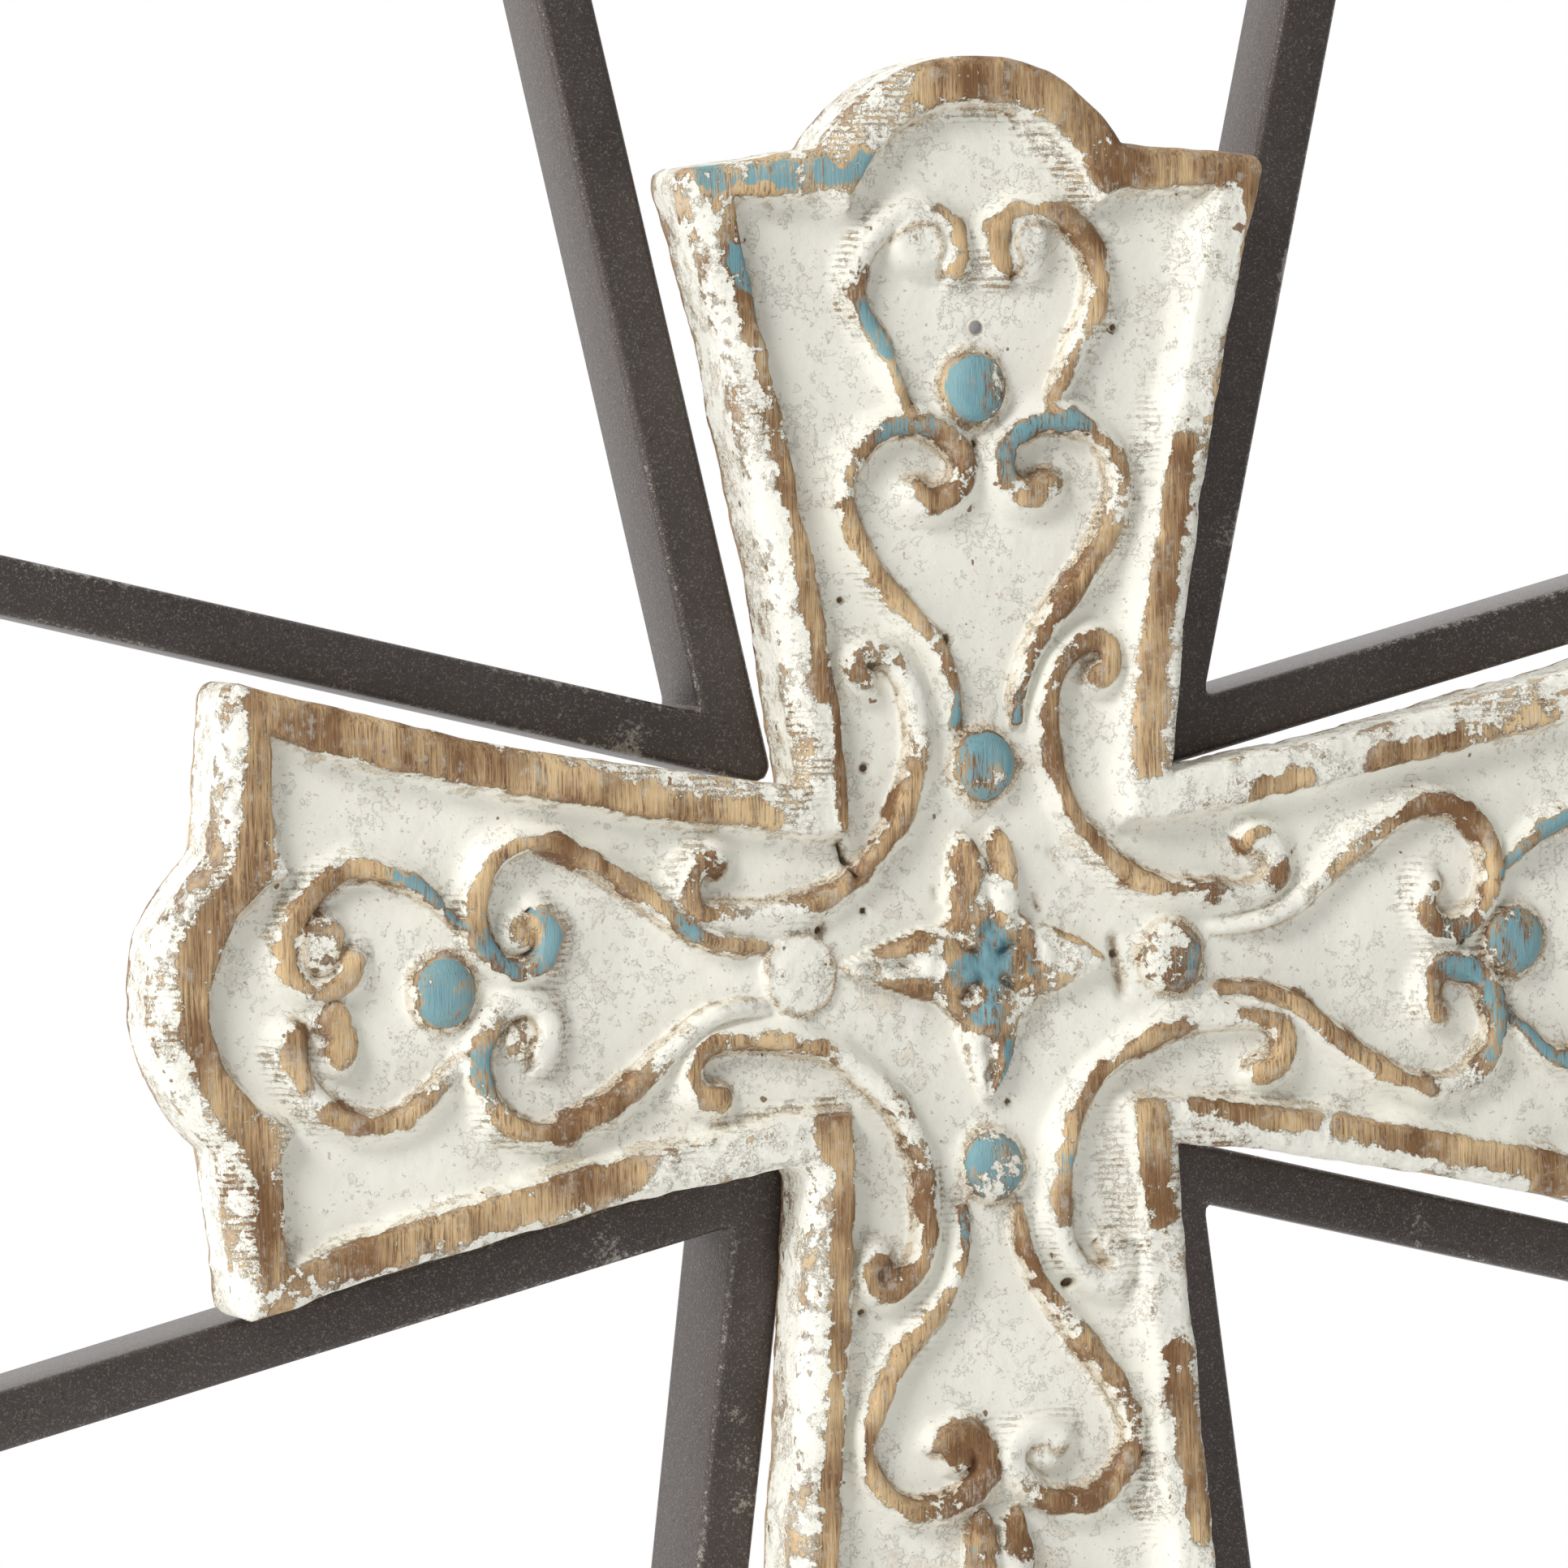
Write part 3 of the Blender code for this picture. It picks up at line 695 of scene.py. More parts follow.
def scroll_half_width(share, thin_start, half):
    """A scroll's half width along its length: thin where it springs, full in its curl."""
    if thin_start:
        return half * (0.6 + 0.4 * np.minimum(1.0, share / 0.25) + 0.28 * share**4)
    return half * (1.0 + 0.3 * np.abs(2 * share - 1) ** 4)


def thin_out(points, kept_first):
    """Drops each point that crowds an earlier one. The first points always stay."""
    cells = {}
    kept = []
    for index, (x, y) in enumerate(points.tolist()):
        column, row = math.floor(x / CLOSEST), math.floor(y / CLOSEST)
        crowded = index >= kept_first and any(
            (x - other[0]) ** 2 + (y - other[1]) ** 2 < CLOSEST**2
            for dx in (-1, 0, 1)
            for dy in (-1, 0, 1)
            for other in cells.get((column + dx, row + dy), ())
        )
        if not crowded:
            cells.setdefault((column, row), []).append((x, y))
            kept.append(index)
    return points[kept]


def circle(count):
    """Points evenly round a circle with a radius of one."""
    angles = np.linspace(0, math.tau, count, endpoint=False)
    return np.stack([np.cos(angles), np.sin(angles)], axis=1)


def lattice(low, high, across, up, stagger=0.0):
    """Points in rows between two corners, with every other row shifted by a stagger."""
    x, y = np.meshgrid(np.arange(low[0], high[0], across), np.arange(low[1], high[1], up))
    x[1::2] += stagger
    return np.stack([x.ravel(), y.ravel()], axis=1)


def plan_points(outline, panel, scrolls, studs):
    """Where the mesh gets its points: along every carved edge, and a loose grid in between."""
    groups = [outline[:-1]]
    inwards = -sideways(outline)[:-1]
    groups += [outline[:-1] + inwards * depth * MM for depth in OUTLINE_DEPTHS]
    edge = resample(panel, EDGE_STEP)
    side = sideways(edge)
    groups += [edge + side * -offset * MM for offset in PANEL_OFFSETS]
    for scroll in scrolls.values():
        middle = resample(scroll.line, SCROLL_STEP)
        side = sideways(middle)
        groups.append(middle)
        for offset in SCROLL_OFFSETS:
            groups += [middle + side * sign * offset * MM for sign in (1, -1)]
        for radius in SCROLL_END_RADII:
            ring = circle(int(radius * 6)) * radius * MM
            groups += [middle[-1] + ring, middle[0] + ring]
    for centre, _ in studs.values():
        for share in STUD_SHARES:
            groups.append(centre + circle(int(8 + 40 * share)) * (STUD_WIDTH, STUD_LENGTH) * share)
    for centre_y in (0.0, -LOWER_ROSETTE_REACH):
        patch = lattice(-ROSETTE_CORNER, ROSETTE_CORNER, ROSETTE_STEP, ROSETTE_STEP)
        near = np.hypot(patch[:, 0] / ROSETTE_HALF[0], patch[:, 1] / ROSETTE_HALF[1]) < 1.0 * MM
        groups.append(patch[near] + (0.0, centre_y))
    for place, half, depth in PITS:
        groups += [(np.array(place) + circle(9) * half * share) * MM for share in PIT_SHARES]
    groups += [np.array(NAIL_PLACE) + circle(20) * NAIL_RADIUS * share for share in NAIL_SHARES]
    low, high = outline.min(axis=0), outline.max(axis=0)
    grid = lattice(low, high, FLOOR_STEP, FLOOR_STEP * ROW_SHARE, FLOOR_STEP / 2)
    jitter = np.random.default_rng(5).uniform(-JITTER, JITTER, grid.shape) * FLOOR_STEP
    groups.append(grid + jitter)
    points = np.concatenate(groups)
    border = len(groups[0])
    keep = inside(points, outline)
    keep &= measure(points, outline).distance > EDGE_GAP
    keep[:border] = True
    return thin_out(points[keep], border), border


def leaf(points, start, tip, half, bluntness, groove):
    """Height of a carved leaf from its start to its tip, with a groove along its middle."""
    start, tip = np.array(start) * MM, np.array(tip) * MM
    axis = tip - start
    length = np.hypot(*axis)
    offset = points - start
    share = (offset @ axis) / length**2
    across = np.abs(axis[0] * offset[:, 1] - axis[1] * offset[:, 0]) / length / MM
    width = half * (1.0 - np.clip(share, 0.0, 0.999) ** bluntness)
    beside = np.clip(across / width, 0.0, 1.0)
    body = np.sqrt(1.0 - beside**2.6) * smoothstep(1.0, 0.86, share) * smoothstep(-0.15, 0.0, share)
    vein = groove * np.exp(-((across / (0.2 * half)) ** 2)) * smoothstep(0.25, 0.45, share)
    return LEAF_HEIGHT * body * (1.0 - vein)


def rosette(points, centre):
    """Height of a rosette's leaves, collar and boss above the panel."""
    place = points - centre
    height = np.zeros(len(points))
    for start, tip, half, bluntness, groove in ROSETTE_LEAVES:
        height = np.maximum(height, leaf(place, start, tip, half, bluntness, groove))
    away = np.hypot(place[:, 0], place[:, 1])
    collar = COLLAR_HEIGHT * np.exp(-(((away - COLLAR_RADIUS) / (2.6 * MM)) ** 4))
    height = np.maximum(height, collar)
    angle = np.arctan2(place[:, 1], place[:, 0])
    lobes = away / (BOSS_RADIUS * (1.0 + 0.04 * np.cos(4 * angle)))
    boss = BOSS_HEIGHT * np.sqrt(1.0 - np.minimum(lobes, 1.0) ** 3.5)
    diagonal = np.minimum(np.abs(place.sum(axis=1)), np.abs(place[:, 0] - place[:, 1]))
    diagonal /= math.sqrt(2)
    slot = np.exp(-((diagonal / (1.1 * MM)) ** 2))
    slot *= smoothstep(2.2 * MM, 4.2 * MM, away) * smoothstep(9.5 * MM, 7.5 * MM, away)
    return np.maximum(height, boss - 2.6 * MM * slot * (lobes < 1.0))


class Carving:
    """The front of the wood at the plan's points: its height, and the finish that shows there."""

    def __init__(self, points, floor):
        self.points = points
        self.floor = floor
        self.height = floor.copy()
        self.bare = np.zeros(len(points))
        self.blue = np.zeros(len(points))
        self.dirt_and_shade = np.zeros(len(points))
        self.nicks = np.zeros(len(points))
        self.ragged = MM * (0.8 * noise(points, 4 * MM, 83) + 0.5 * noise(points, 1.8 * MM, 84))

    def lift(self, rise):
        """Raises the wood to a height above the panel, where it isn't that high yet."""
        self.height = np.maximum(self.height, self.floor + rise)

    def finish(self, cover, bare, blue):
        """Gives the part that a cover marks a finish of its own."""
        self.bare = self.bare * (1 - cover) + bare * cover
        self.blue = self.blue * (1 - cover) + blue * cover

    def shade_and_dirty(self, dirt_and_shade):
        """Marks how dark a cut is painted: the dirt it gathered, with painted shade where light reaches
        it less.
        """
        self.dirt_and_shade = np.maximum(self.dirt_and_shade, dirt_and_shade)

    def comb(self, nicks):
        """Marks where the cutter tore the grain in level rows."""
        self.nicks = np.maximum(self.nicks, nicks)

    def patch(self, wear, cover):
        """Lays one worn place, given as kind, start, end and half width, within a cover."""
        kind, start, end, half = wear
        gap = measure(self.points, np.array([start, end], float) * MM).distance
        gap = np.where(gap < MEASURED_REACH, gap + self.ragged, 2 * MEASURED_REACH)
        near = cover * (1 - smoothstep(0.45 * half * MM, 1.35 * half * MM, gap))
        self.finish(near, *FINISHES[kind])

    def layers(self):
        """The finish of every point: bare, blue, dirt with painted shade, and nicks."""
        layers = [self.bare, self.blue, self.dirt_and_shade, self.nicks]
        return np.clip(np.stack(layers, axis=1), 0.0, 2.0)


def carve_rim(carving, outline, panel, sizes):
    """The raised rim, its rounded outer edge, and its slope down to the panel."""
    points = carving.points
    wall = measure(points, panel)
    sunk = np.where(inside(points, panel), wall.distance, -wall.distance)
    faces_right = np.clip(wall.left[:, 0], -1.0, 1.0)
    faces_up_or_down = wall.left[:, 1] ** 2
    run = WALL_RUN + 5.0 * MM * smoothstep(0.2, 0.9, faces_right) + 2.2 * MM * faces_up_or_down
    run *= 1.0 + 0.3 * noise(points, 23 * MM, 60)
    wobble = 0.35 * MM * noise(points, 5 * MM, 8) + 0.5 * MM * noise(points, 12 * MM, 9)
    share = np.clip((sunk + wobble + 0.4 * MM) / run, 0.0, 1.0)
    fall = 1.0 - (1.0 - share) ** 2.2
    rim = sizes.thickness - 0.28 * MM
    rim = rim - 0.3 * MM * noise(points, 17 * MM, 6) - 0.16 * MM * noise(points, 4 * MM, 7)
    rim -= 0.8 * MM * np.clip(1.0 + sunk / (2.2 * MM), 0.0, 1.0) ** 2
    carving.height = rim * (1 - fall) + carving.floor * fall
    edge = measure(points, outline)
    seen_side = smoothstep(0.1, 0.8, -edge.left[:, 0])
    rounding = EDGE_RADIUS * (1.0 + 1.2 * seen_side + 0.3 * noise(points, 9 * MM, 10))
    lean = np.clip(1.0 - edge.distance / rounding, 0.0, 1.0)
    carving.height -= rounding * (1.0 - np.sqrt(1.0 - lean**2))
    dents = smoothstep(0.45, 0.9, noise(points, 7 * MM, 11))
    carving.height -= 0.7 * MM * dents * smoothstep(4.0 * MM, 0.0, edge.distance)

    on_rim = 1 - smoothstep(-0.7 * MM, 0.7 * MM, sunk)
    carving.bare = 0.27 * on_rim + 0.22 * lean**2
    # Painted shade, with dirt, in the crease at the foot of a steep wall.
    carving.shade_and_dirty(0.8 * np.exp(-(((sunk - 1.1 * MM) / (1.2 * MM)) ** 2)) * (run < 4 * MM))
    side_cover = smoothstep(1.25 * rounding, 0.75 * rounding, edge.distance)
    worn_top = on_rim * (1 - 0.85 * seen_side * side_cover)
    for wear in RIM_WEAR:
        carving.patch(wear, worn_top)
    slope = smoothstep(0.3 * MM, 1.5 * MM, sunk) * smoothstep(1.5, 0.8, sunk / run) * (run > 3 * MM)
    torn = smoothstep(-0.1, 0.5, noise(points, 31 * MM, 61) - 0.6 * faces_up_or_down)
    carving.comb(slope * torn)
    carving.comb(on_rim * 0.6 * smoothstep(0.0, 0.5, noise(points, 26 * MM, 62)))


def carve_scrolls(carving, scrolls, sizes):
    """The scroll ridges: steep inside their curve and sloping outside it."""
    points = carving.points
    for index, (name, scroll) in enumerate(scrolls.items()):
        near = measure(points, scroll.line)
        share = near.along / np.hypot(*np.diff(scroll.line, axis=0).T).sum()
        springs = not name.startswith("corner")
        half = scroll_half_width(share, springs, sizes.scroll_half_width)
        half = half * (1.0 + 0.16 * noise(points, 7 * MM, 12))
        outer = near.sign != scroll.curl
        flank = np.where(outer, 2.15 + 0.5 * noise(points, 16 * MM, 14), 1.5)
        away = near.distance / half
        side = smoothstep(flank, 0.55, away)
        lift = sizes.scroll_height * (1.0 + 0.1 * noise(points, 11 * MM, 13))
        spring = 0.35 + 0.65 * np.minimum(1.0, share / 0.10) if springs else 1.0
        carving.lift(lift * side * (1.0 - 0.12 * np.clip(away, 0, 1) ** 2) * spring)

        centres = (np.arange(len(scroll.letters)) + 0.5) / len(scroll.letters)
        finishes = np.array([LETTER_FINISHES[letter] for letter in scroll.letters])
        bare, blue = (np.interp(share, centres, values) for values in finishes.T)
        reach = np.where(outer, away, 0.8 * away) + 0.32 * noise(points, 8 * MM, 70 + index)
        stripe = smoothstep(1.2, 0.55, reach + 0.28 * noise(points, 3 * MM, 90 + index))
        carving.finish(stripe * (near.distance < 0.9 * MEASURED_REACH), bare, blue)
        # Painted shade, with dirt, along the foot of the steep side inside the curl.
        carving.shade_and_dirty(np.where(outer, 0.0, 1.2 * np.exp(-(((away - 1.2) / 0.35) ** 2))))
        rows = smoothstep(0.8, 1.1, away) * smoothstep(2.4, 1.7, away) * np.where(outer, 1.0, 0.35)
        torn = smoothstep(-0.2, 0.35, noise(points, 17 * MM, 63))
        carving.comb(rows * torn * np.abs(near.left[:, 0]) ** 0.5)


def carve_blobs(carving):
    """The thick lumps that the carver left inside the curls."""
    for (x, y), (across, up), rise, kind in CURL_BLOBS:
        place = carving.points - np.array([x, y]) * MM
        away = np.hypot(place[:, 0] / across, place[:, 1] / up) / MM
        away *= 1.0 + 0.12 * noise(carving.points, 5 * MM, 81)
        carving.lift(rise * MM * smoothstep(1.25, 0.7, away))
        carving.finish(smoothstep(1.1, 0.8, away) * 0.9, *FINISHES[kind])


def carve_studs(carving, studs):
    """The domed studs, each in a low collar."""
    points = carving.points
    for name, (centre, kind) in studs.items():
        place = points - centre
        away = np.hypot(place[:, 0] / STUD_WIDTH, place[:, 1] / STUD_LENGTH)
        away = away * (1.0 + 0.04 * noise(points, 5 * MM, 15))
        within = np.minimum(away, 1.0)
        rise = STUD_HEIGHT * np.sqrt(1.0 - within**5) * (1.0 - 0.12 * within**2)
        rise *= STUD_RISE.get(name, 1.0)
        collar = 1.5 * MM * np.exp(-((np.maximum(away - 1.0, 0) / 0.16) ** 2))
        carving.lift(np.maximum(rise, collar))
        carving.finish(smoothstep(1.5, 1.0, away), 0.3, 0.0)
        carving.finish(smoothstep(1.04, 0.9, away), *FINISHES[kind])
        # Painted shade, with dirt, in a ring round the stud's foot.
        carving.shade_and_dirty(1.1 * np.exp(-(((away - 1.06) / 0.09) ** 2)))


def carve_rosettes(carving):
    """The rosettes at the middle and on the bottom arm, and their worn places."""
    points = carving.points
    for centre_y in (0.0, -LOWER_ROSETTE_REACH):
        centre = np.array([0.0, centre_y])
        near = np.hypot(*(points - centre).T) < 40 * MM
        rise = np.zeros(len(points))
        rise[near] = rosette(wander(points[near], 0.5 * MM, 6 * MM, 82), centre)
        lumps = 0.6 * MM * noise(points, 3.6 * MM, 16) + 0.4 * MM * noise(points, 1.7 * MM, 18)
        carving.lift(np.where(rise > 0.5 * MM, rise + lumps, rise))
        cover = smoothstep(0.8 * MM, 2.4 * MM, rise)
        carving.finish(cover, 0.5, 0.0)
        for kind, start, end, half in ROSETTE_WEAR:
            shifted = [np.add(spot, (0.0, centre_y / MM)) for spot in (start, end)]
            carving.patch((kind, *shifted, half), cover)
        # Painted shade, with dirt, round the feet of the leaves, the collar and the boss.
        carving.shade_and_dirty(1.2 * np.exp(-(((rise - 1.2 * MM) / (1.0 * MM)) ** 2)) * near)


def carve_marks(carving):
    """Old holes, cracks, gouges and the dents between them."""
    points = carving.points
    for place, half, depth in PITS:
        away = np.hypot(*(points - np.array(place) * MM).T) / (half * MM)
        hole = np.exp(-(away**4))
        carving.height -= depth * MM * hole
        # Painted shade, with dirt, inside the hole.
        carving.shade_and_dirty(1.8 * hole)
    for start, end, half, depth in CRACKS:
        gap = measure(points, np.array([start, end], float) * MM).distance / (half * MM)
        slot = np.exp(-(gap**3))
        carving.height -= depth * MM * slot
        # Painted shade, with dirt, inside the crack.
        carving.shade_and_dirty(0.75 * depth * slot)
    nail = np.hypot(*(points - np.array(NAIL_PLACE)).T) / NAIL_RADIUS
    # Painted shade, with dirt, round and under the nail's head.
    carving.shade_and_dirty(1.7 * np.exp(-((nail / 1.05) ** 8)))
    carving.height -= 0.5 * MM * np.exp(-((nail / 1.25) ** 8))
    carving.height += 1.1 * MM * np.sqrt(1.0 - np.minimum(nail, 1.0) ** 3)


def carve(points, outline, panel, scrolls, studs, sizes):
    """Carves the front of the cross over the plan's points."""
    floor = sizes.thickness - sizes.panel_depth + 0.42 * MM * noise(points, 26 * MM, 3)
    floor += 0.22 * MM * noise(points, 9 * MM, 4) + 0.1 * MM * noise(points, 3.5 * MM, 5)
    carving = Carving(points, floor)
    carve_rim(carving, outline, panel, sizes)
    carve_scrolls(carving, scrolls, sizes)
    carve_blobs(carving)
    carve_studs(carving, studs)
    carve_rosettes(carving)
    carve_marks(carving)
    carving.height = np.minimum(carving.height, sizes.thickness)
    return carving


def middle_height():
    """How high the middle of the cross is in the room."""
    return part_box("frame_top_end_bar")[1][2] - FRAME_TOP_REACH


def stand_up(plan, heights):
    """Plan points and heights over the wood's back, as places in the room."""
    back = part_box("wooden_cross")[1][1]
    plan = turned(plan, math.degrees(WOOD_TURN))
    return np.stack([plan[:, 0], back - heights, plan[:, 1] + middle_height()], axis=1)


def triangles(plan, border):
    """Joins plan points into triangles inside the closed line of the first ones."""
    edges = [(index, (index + 1) % border) for index in range(border)]
    found = delaunay_2d_cdt([Vector(place) for place in plan.tolist()], edges, [], 0, SAME_POINT, True)
    places, faces, sources = found[0], found[2], found[3]
    if len(places) != len(plan):
        raise RuntimeError("the plan's points crossed each other")
    order = np.array([source[0] for source in sources])
    corners = order[np.array(faces)]
    middles = plan[corners].mean(axis=1)
    return corners[inside(middles, plan[list(range(border)) + [0]])].tolist()


def new_piece(name, places, faces, material):
    """A mesh object in the scene, with one material."""
    mesh = bpy.data.meshes.new(name)
    mesh.from_pydata([tuple(place) for place in places], [], faces)
    mesh.update()
    piece = bpy.data.objects.new(name, mesh)
    bpy.context.scene.collection.objects.link(piece)
    piece.data.materials.append(material)
    return piece


def store(mesh, name, kind, values):
    """Keeps a value for each point of a mesh, for its material to read."""
    attribute = mesh.attributes.new(name, kind, "POINT")
    key = {"FLOAT_COLOR": "color", "FLOAT": "value"}[kind]
    attribute.data.foreach_set(key, np.asarray(values, np.float32).ravel())


def face_outwards(mesh):
    """Turns the faces of a closed mesh outwards."""
    shape = bmesh.new()
    shape.from_mesh(mesh)
    bmesh.ops.recalc_face_normals(shape, faces=shape.faces)
    shape.to_mesh(mesh)
    shape.free()


def plan_lines(sizes):
    """The wood's outline and its panel's edge in plan, as they were cut by hand."""
    outline = wander(resample(cross_line(0.0), EDGE_STEP), 0.5 * MM, 16 * MM, 20)
    outline = eased(wander(outline, 0.25 * MM, 4 * MM, 22), (-NECK_X, -NECK_Y))
    panel = wander(resample(cross_line(sizes.rim_width), EDGE_STEP), 0.7 * MM, 15 * MM, 24)
    panel = wander(panel, 0.3 * MM, 4 * MM, 26)
    panel[-1] = panel[0]
    panel[:, 0] += LEFT_RIM_EXTRA * smoothstep(*LEFT_RIM_REACHES, panel[:, 0])
    return outline, panel


def side_rings(outline, heights):
    """The rows of points down the wood's sides: each row's plan, heights and finish."""
    inwards = -sideways(outline)[:-1]
    along = np.arange(len(heights)) * EDGE_STEP
    for row in range(1, SIDE_ROWS + 1):
        share = row / SIDE_ROWS
        level = heights * (1 - share)
        groove = 0.25 * MM * np.abs(noise(np.stack([along, along * 0], axis=1), 3 * MM, 30))
        groove += 0.15 * MM * noise(np.stack([along, level], axis=1), 9 * MM, 31)
        if row == SIDE_ROWS:
            groove += 0.4 * MM
        ring = outline[:-1] + inwards * np.maximum(groove, 0)[:, None]
        bare = 0.30 + 0.6 * smoothstep(0.75, 1.0, share)
        yield ring, level, np.tile([bare, 0.0, 0.25, 0.0], (len(heights), 1))


class WALLCROSS_OT_wood(bpy.types.Operator):
    """Carve and paint the wooden cross"""

    bl_idname = "wallcross.wood"
    bl_label = "Wooden cross"

    def execute(self, context):
        sizes = context.scene.wallcross_wood
        outline, panel = plan_lines(sizes)
        scrolls, studs = all_scrolls(), all_studs()
        plan, border = plan_points(outline, panel, scrolls, studs)
        carving = carve(plan, outline, panel, scrolls, studs, sizes)
        places = [stand_up(plan, carving.height)]
        finishes = [carving.layers()]
        faces = triangles(plan, border)

        count = len(plan)
        upper = list(range(border))
        for ring, level, finish in side_rings(outline, carving.height[:border]):
            places.append(stand_up(ring, level))
            finishes.append(finish)
            lower = list(range(count, count + border))
            count += border
            for index in range(border):
                other = (index + 1) % border
                faces.append([upper[index], upper[other], lower[other], lower[index]])
            upper = lower

        grid = lattice(ring.min(axis=0), ring.max(axis=0), BACK_STEP, BACK_STEP)
        grid = grid[inside(grid, ring[list(range(border)) + [0]])]
        grid = grid[measure(grid, ring).distance > BACK_GAP]
        places.append(stand_up(grid, np.zeros(len(grid))))
        finishes.append(np.tile([0.9, 0.0, 0.2, 0.0], (len(grid), 1)))
        numbers = upper + list(range(count, count + len(grid)))
        back = triangles(np.concatenate([ring, grid]), border)
        faces += [[numbers[corner] for corner in face[::-1]] for face in back]

        piece = new_piece("carved_cross", np.concatenate(places), faces, painted_wood(sizes))
        face_outwards(piece.data)
        # The finish's third channel holds the dirt and painted shade of the cuts.
        store(piece.data, "finish", "FLOAT_COLOR", np.concatenate(finishes))
        piece.data.shade_smooth()
        piece.data.set_sharp_from_angle(angle=WOOD_CREASE)
        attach(piece, BODY)
        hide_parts("wooden_cross")
        return {"FINISHED"}


def frame_corners():
    """The inner line of the frame in plan, clockwise from the left end of the top bar."""
    side = FRAME_SIDE_REACH - TUBE_FACE
    top = FRAME_TOP_REACH - TUBE_FACE
    bottom = FRAME_BOTTOM_REACH - TUBE_FACE
    right = [
        (FRAME_END_HALF, top),
        (FRAME_NECK_X, FRAME_NECK_Y),
        (side, FRAME_END_HALF),
        (side, -FRAME_END_HALF),
        (FRAME_NECK_X, -FRAME_NECK_Y),
        (FRAME_END_HALF, -bottom),
    ]
    left = [(-x, y) for x, y in reversed(right)]
    left[1] = (left[1][0] + LOWER_LEFT_SLIP, left[1][1])
    return [Vector(corner) for corner in right + left]


def mitres(corners):
    """The step from the inner line to the outer line at each corner."""
    steps = []
    for index, corner in enumerate(corners):
        back = (corner - corners[index - 1]).normalized()
        ahead = (corners[(index + 1) % len(corners)] - corner).normalized()
        out_back, out_ahead = Vector((-back.y, back.x)), Vector((-ahead.y, ahead.x))
        middle = (out_back + out_ahead).normalized()
        steps.append(middle * (TUBE_FACE / middle.dot(out_ahead)))
    return steps


class NodeSheet:
    """Adds nodes to a tree and links them, so that a tree reads as a list of steps."""

    def __init__(self, tree):
        self.tree = tree

    def make(self, kind, settings=None, **sockets):
        """A node of a type, with its settings made first and then its sockets."""
        node = self.tree.nodes.new(kind)
        for key, value in (settings or {}).items():
            setattr(node, key, value)
        for key, value in sockets.items():
            self.put(node.inputs[key.replace("_", " ")], value)
        return node

    def put(self, socket, value):
        """Links a socket, or sets its value."""
        if isinstance(value, Wire):
            value = value.socket
        if isinstance(value, bpy.types.NodeSocket):
            self.tree.links.new(value, socket)
        else:
            socket.default_value = value

    def wire(self, node, output=0):
        """One of a node's outputs, for use in an expression."""
        return Wire(self, node.outputs[output])

    def math(self, operation, *values):
        """A sum or another operation on numbers that change over the surface."""
        node = self.make("ShaderNodeMath", {"operation": operation})
        for socket, value in zip(node.inputs, values):
            self.put(socket, value)
        return self.wire(node)

    def step(self, value, low, high):
        """0 below low, 1 above high, and smooth between."""
        node = self.make("ShaderNodeMapRange", {"interpolation_type": "SMOOTHSTEP"})
        for name, item in (("Value", value), ("From Min", low), ("From Max", high)):
            self.put(node.inputs[name], item)
        return self.wire(node)

    def noise(self, place, scale, detail, roughness):
        """Cloudy values about a half."""
        node = self.make(
            "ShaderNodeTexNoise", Vector=place, Scale=scale, Detail=detail, Roughness=roughness
        )
        return self.wire(node, "Fac")

    def stretched(self, place, scale):
        """The place with each axis multiplied, so a pattern on it is stretched."""
        return self.wire(self.make("ShaderNodeMapping", Vector=place, Scale=scale))

    def away(self, place, point):
        """How far the place is from a point."""
        node = self.make("ShaderNodeVectorMath", {"operation": "DISTANCE"}, Vector=place)
        node.inputs[1].default_value = point
        return self.wire(node, "Value")

    def blend(self, share, first, second):
        """The first colour, blended into the second by a share."""
        node = self.make("ShaderNodeMix", {"data_type": "RGBA"})
        for index, value in ((0, share), (6, first), (7, second)):
            self.put(node.inputs[index], value)
        return self.wire(node, 2)


class Wire:
    """A socket that takes part in Python expressions on values."""

    def __init__(self, sheet, socket):
        self.sheet = sheet
        self.socket = socket

    def __add__(self, other):
        return self.sheet.math("ADD", self, other)

    __radd__ = __add__

    def __sub__(self, other):
        return self.sheet.math("SUBTRACT", self, other)

    def __rsub__(self, other):
        return self.sheet.math("SUBTRACT", other, self)

    def __mul__(self, other):
        return self.sheet.math("MULTIPLY", self, other)

    __rmul__ = __mul__

    def clamped(self):
        """The same value, kept from 0 to 1."""
        wire = self.sheet.math("ADD", self, 0.0)
        wire.socket.node.use_clamp = True
        return wire


def colour(values, factor=1.0):
    """A colour made lighter or darker by a factor, with its alpha."""
    return tuple(min(1.0, value * factor) for value in values) + (1.0,)


def new_material(name):
    """A material, a sheet for its nodes, and its shader."""
    material = bpy.data.materials.new(name)
    material.use_nodes = True
    shader = material.node_tree.nodes["Principled BSDF"]
    return material, NodeSheet(material.node_tree), shader


def nail_top(sizes):
    """Where the nail's head stands out of the wood, in the room."""
    height = sizes.thickness - sizes.panel_depth + 0.6 * MM
    return tuple(stand_up(np.array([NAIL_PLACE]), np.array([height]))[0])


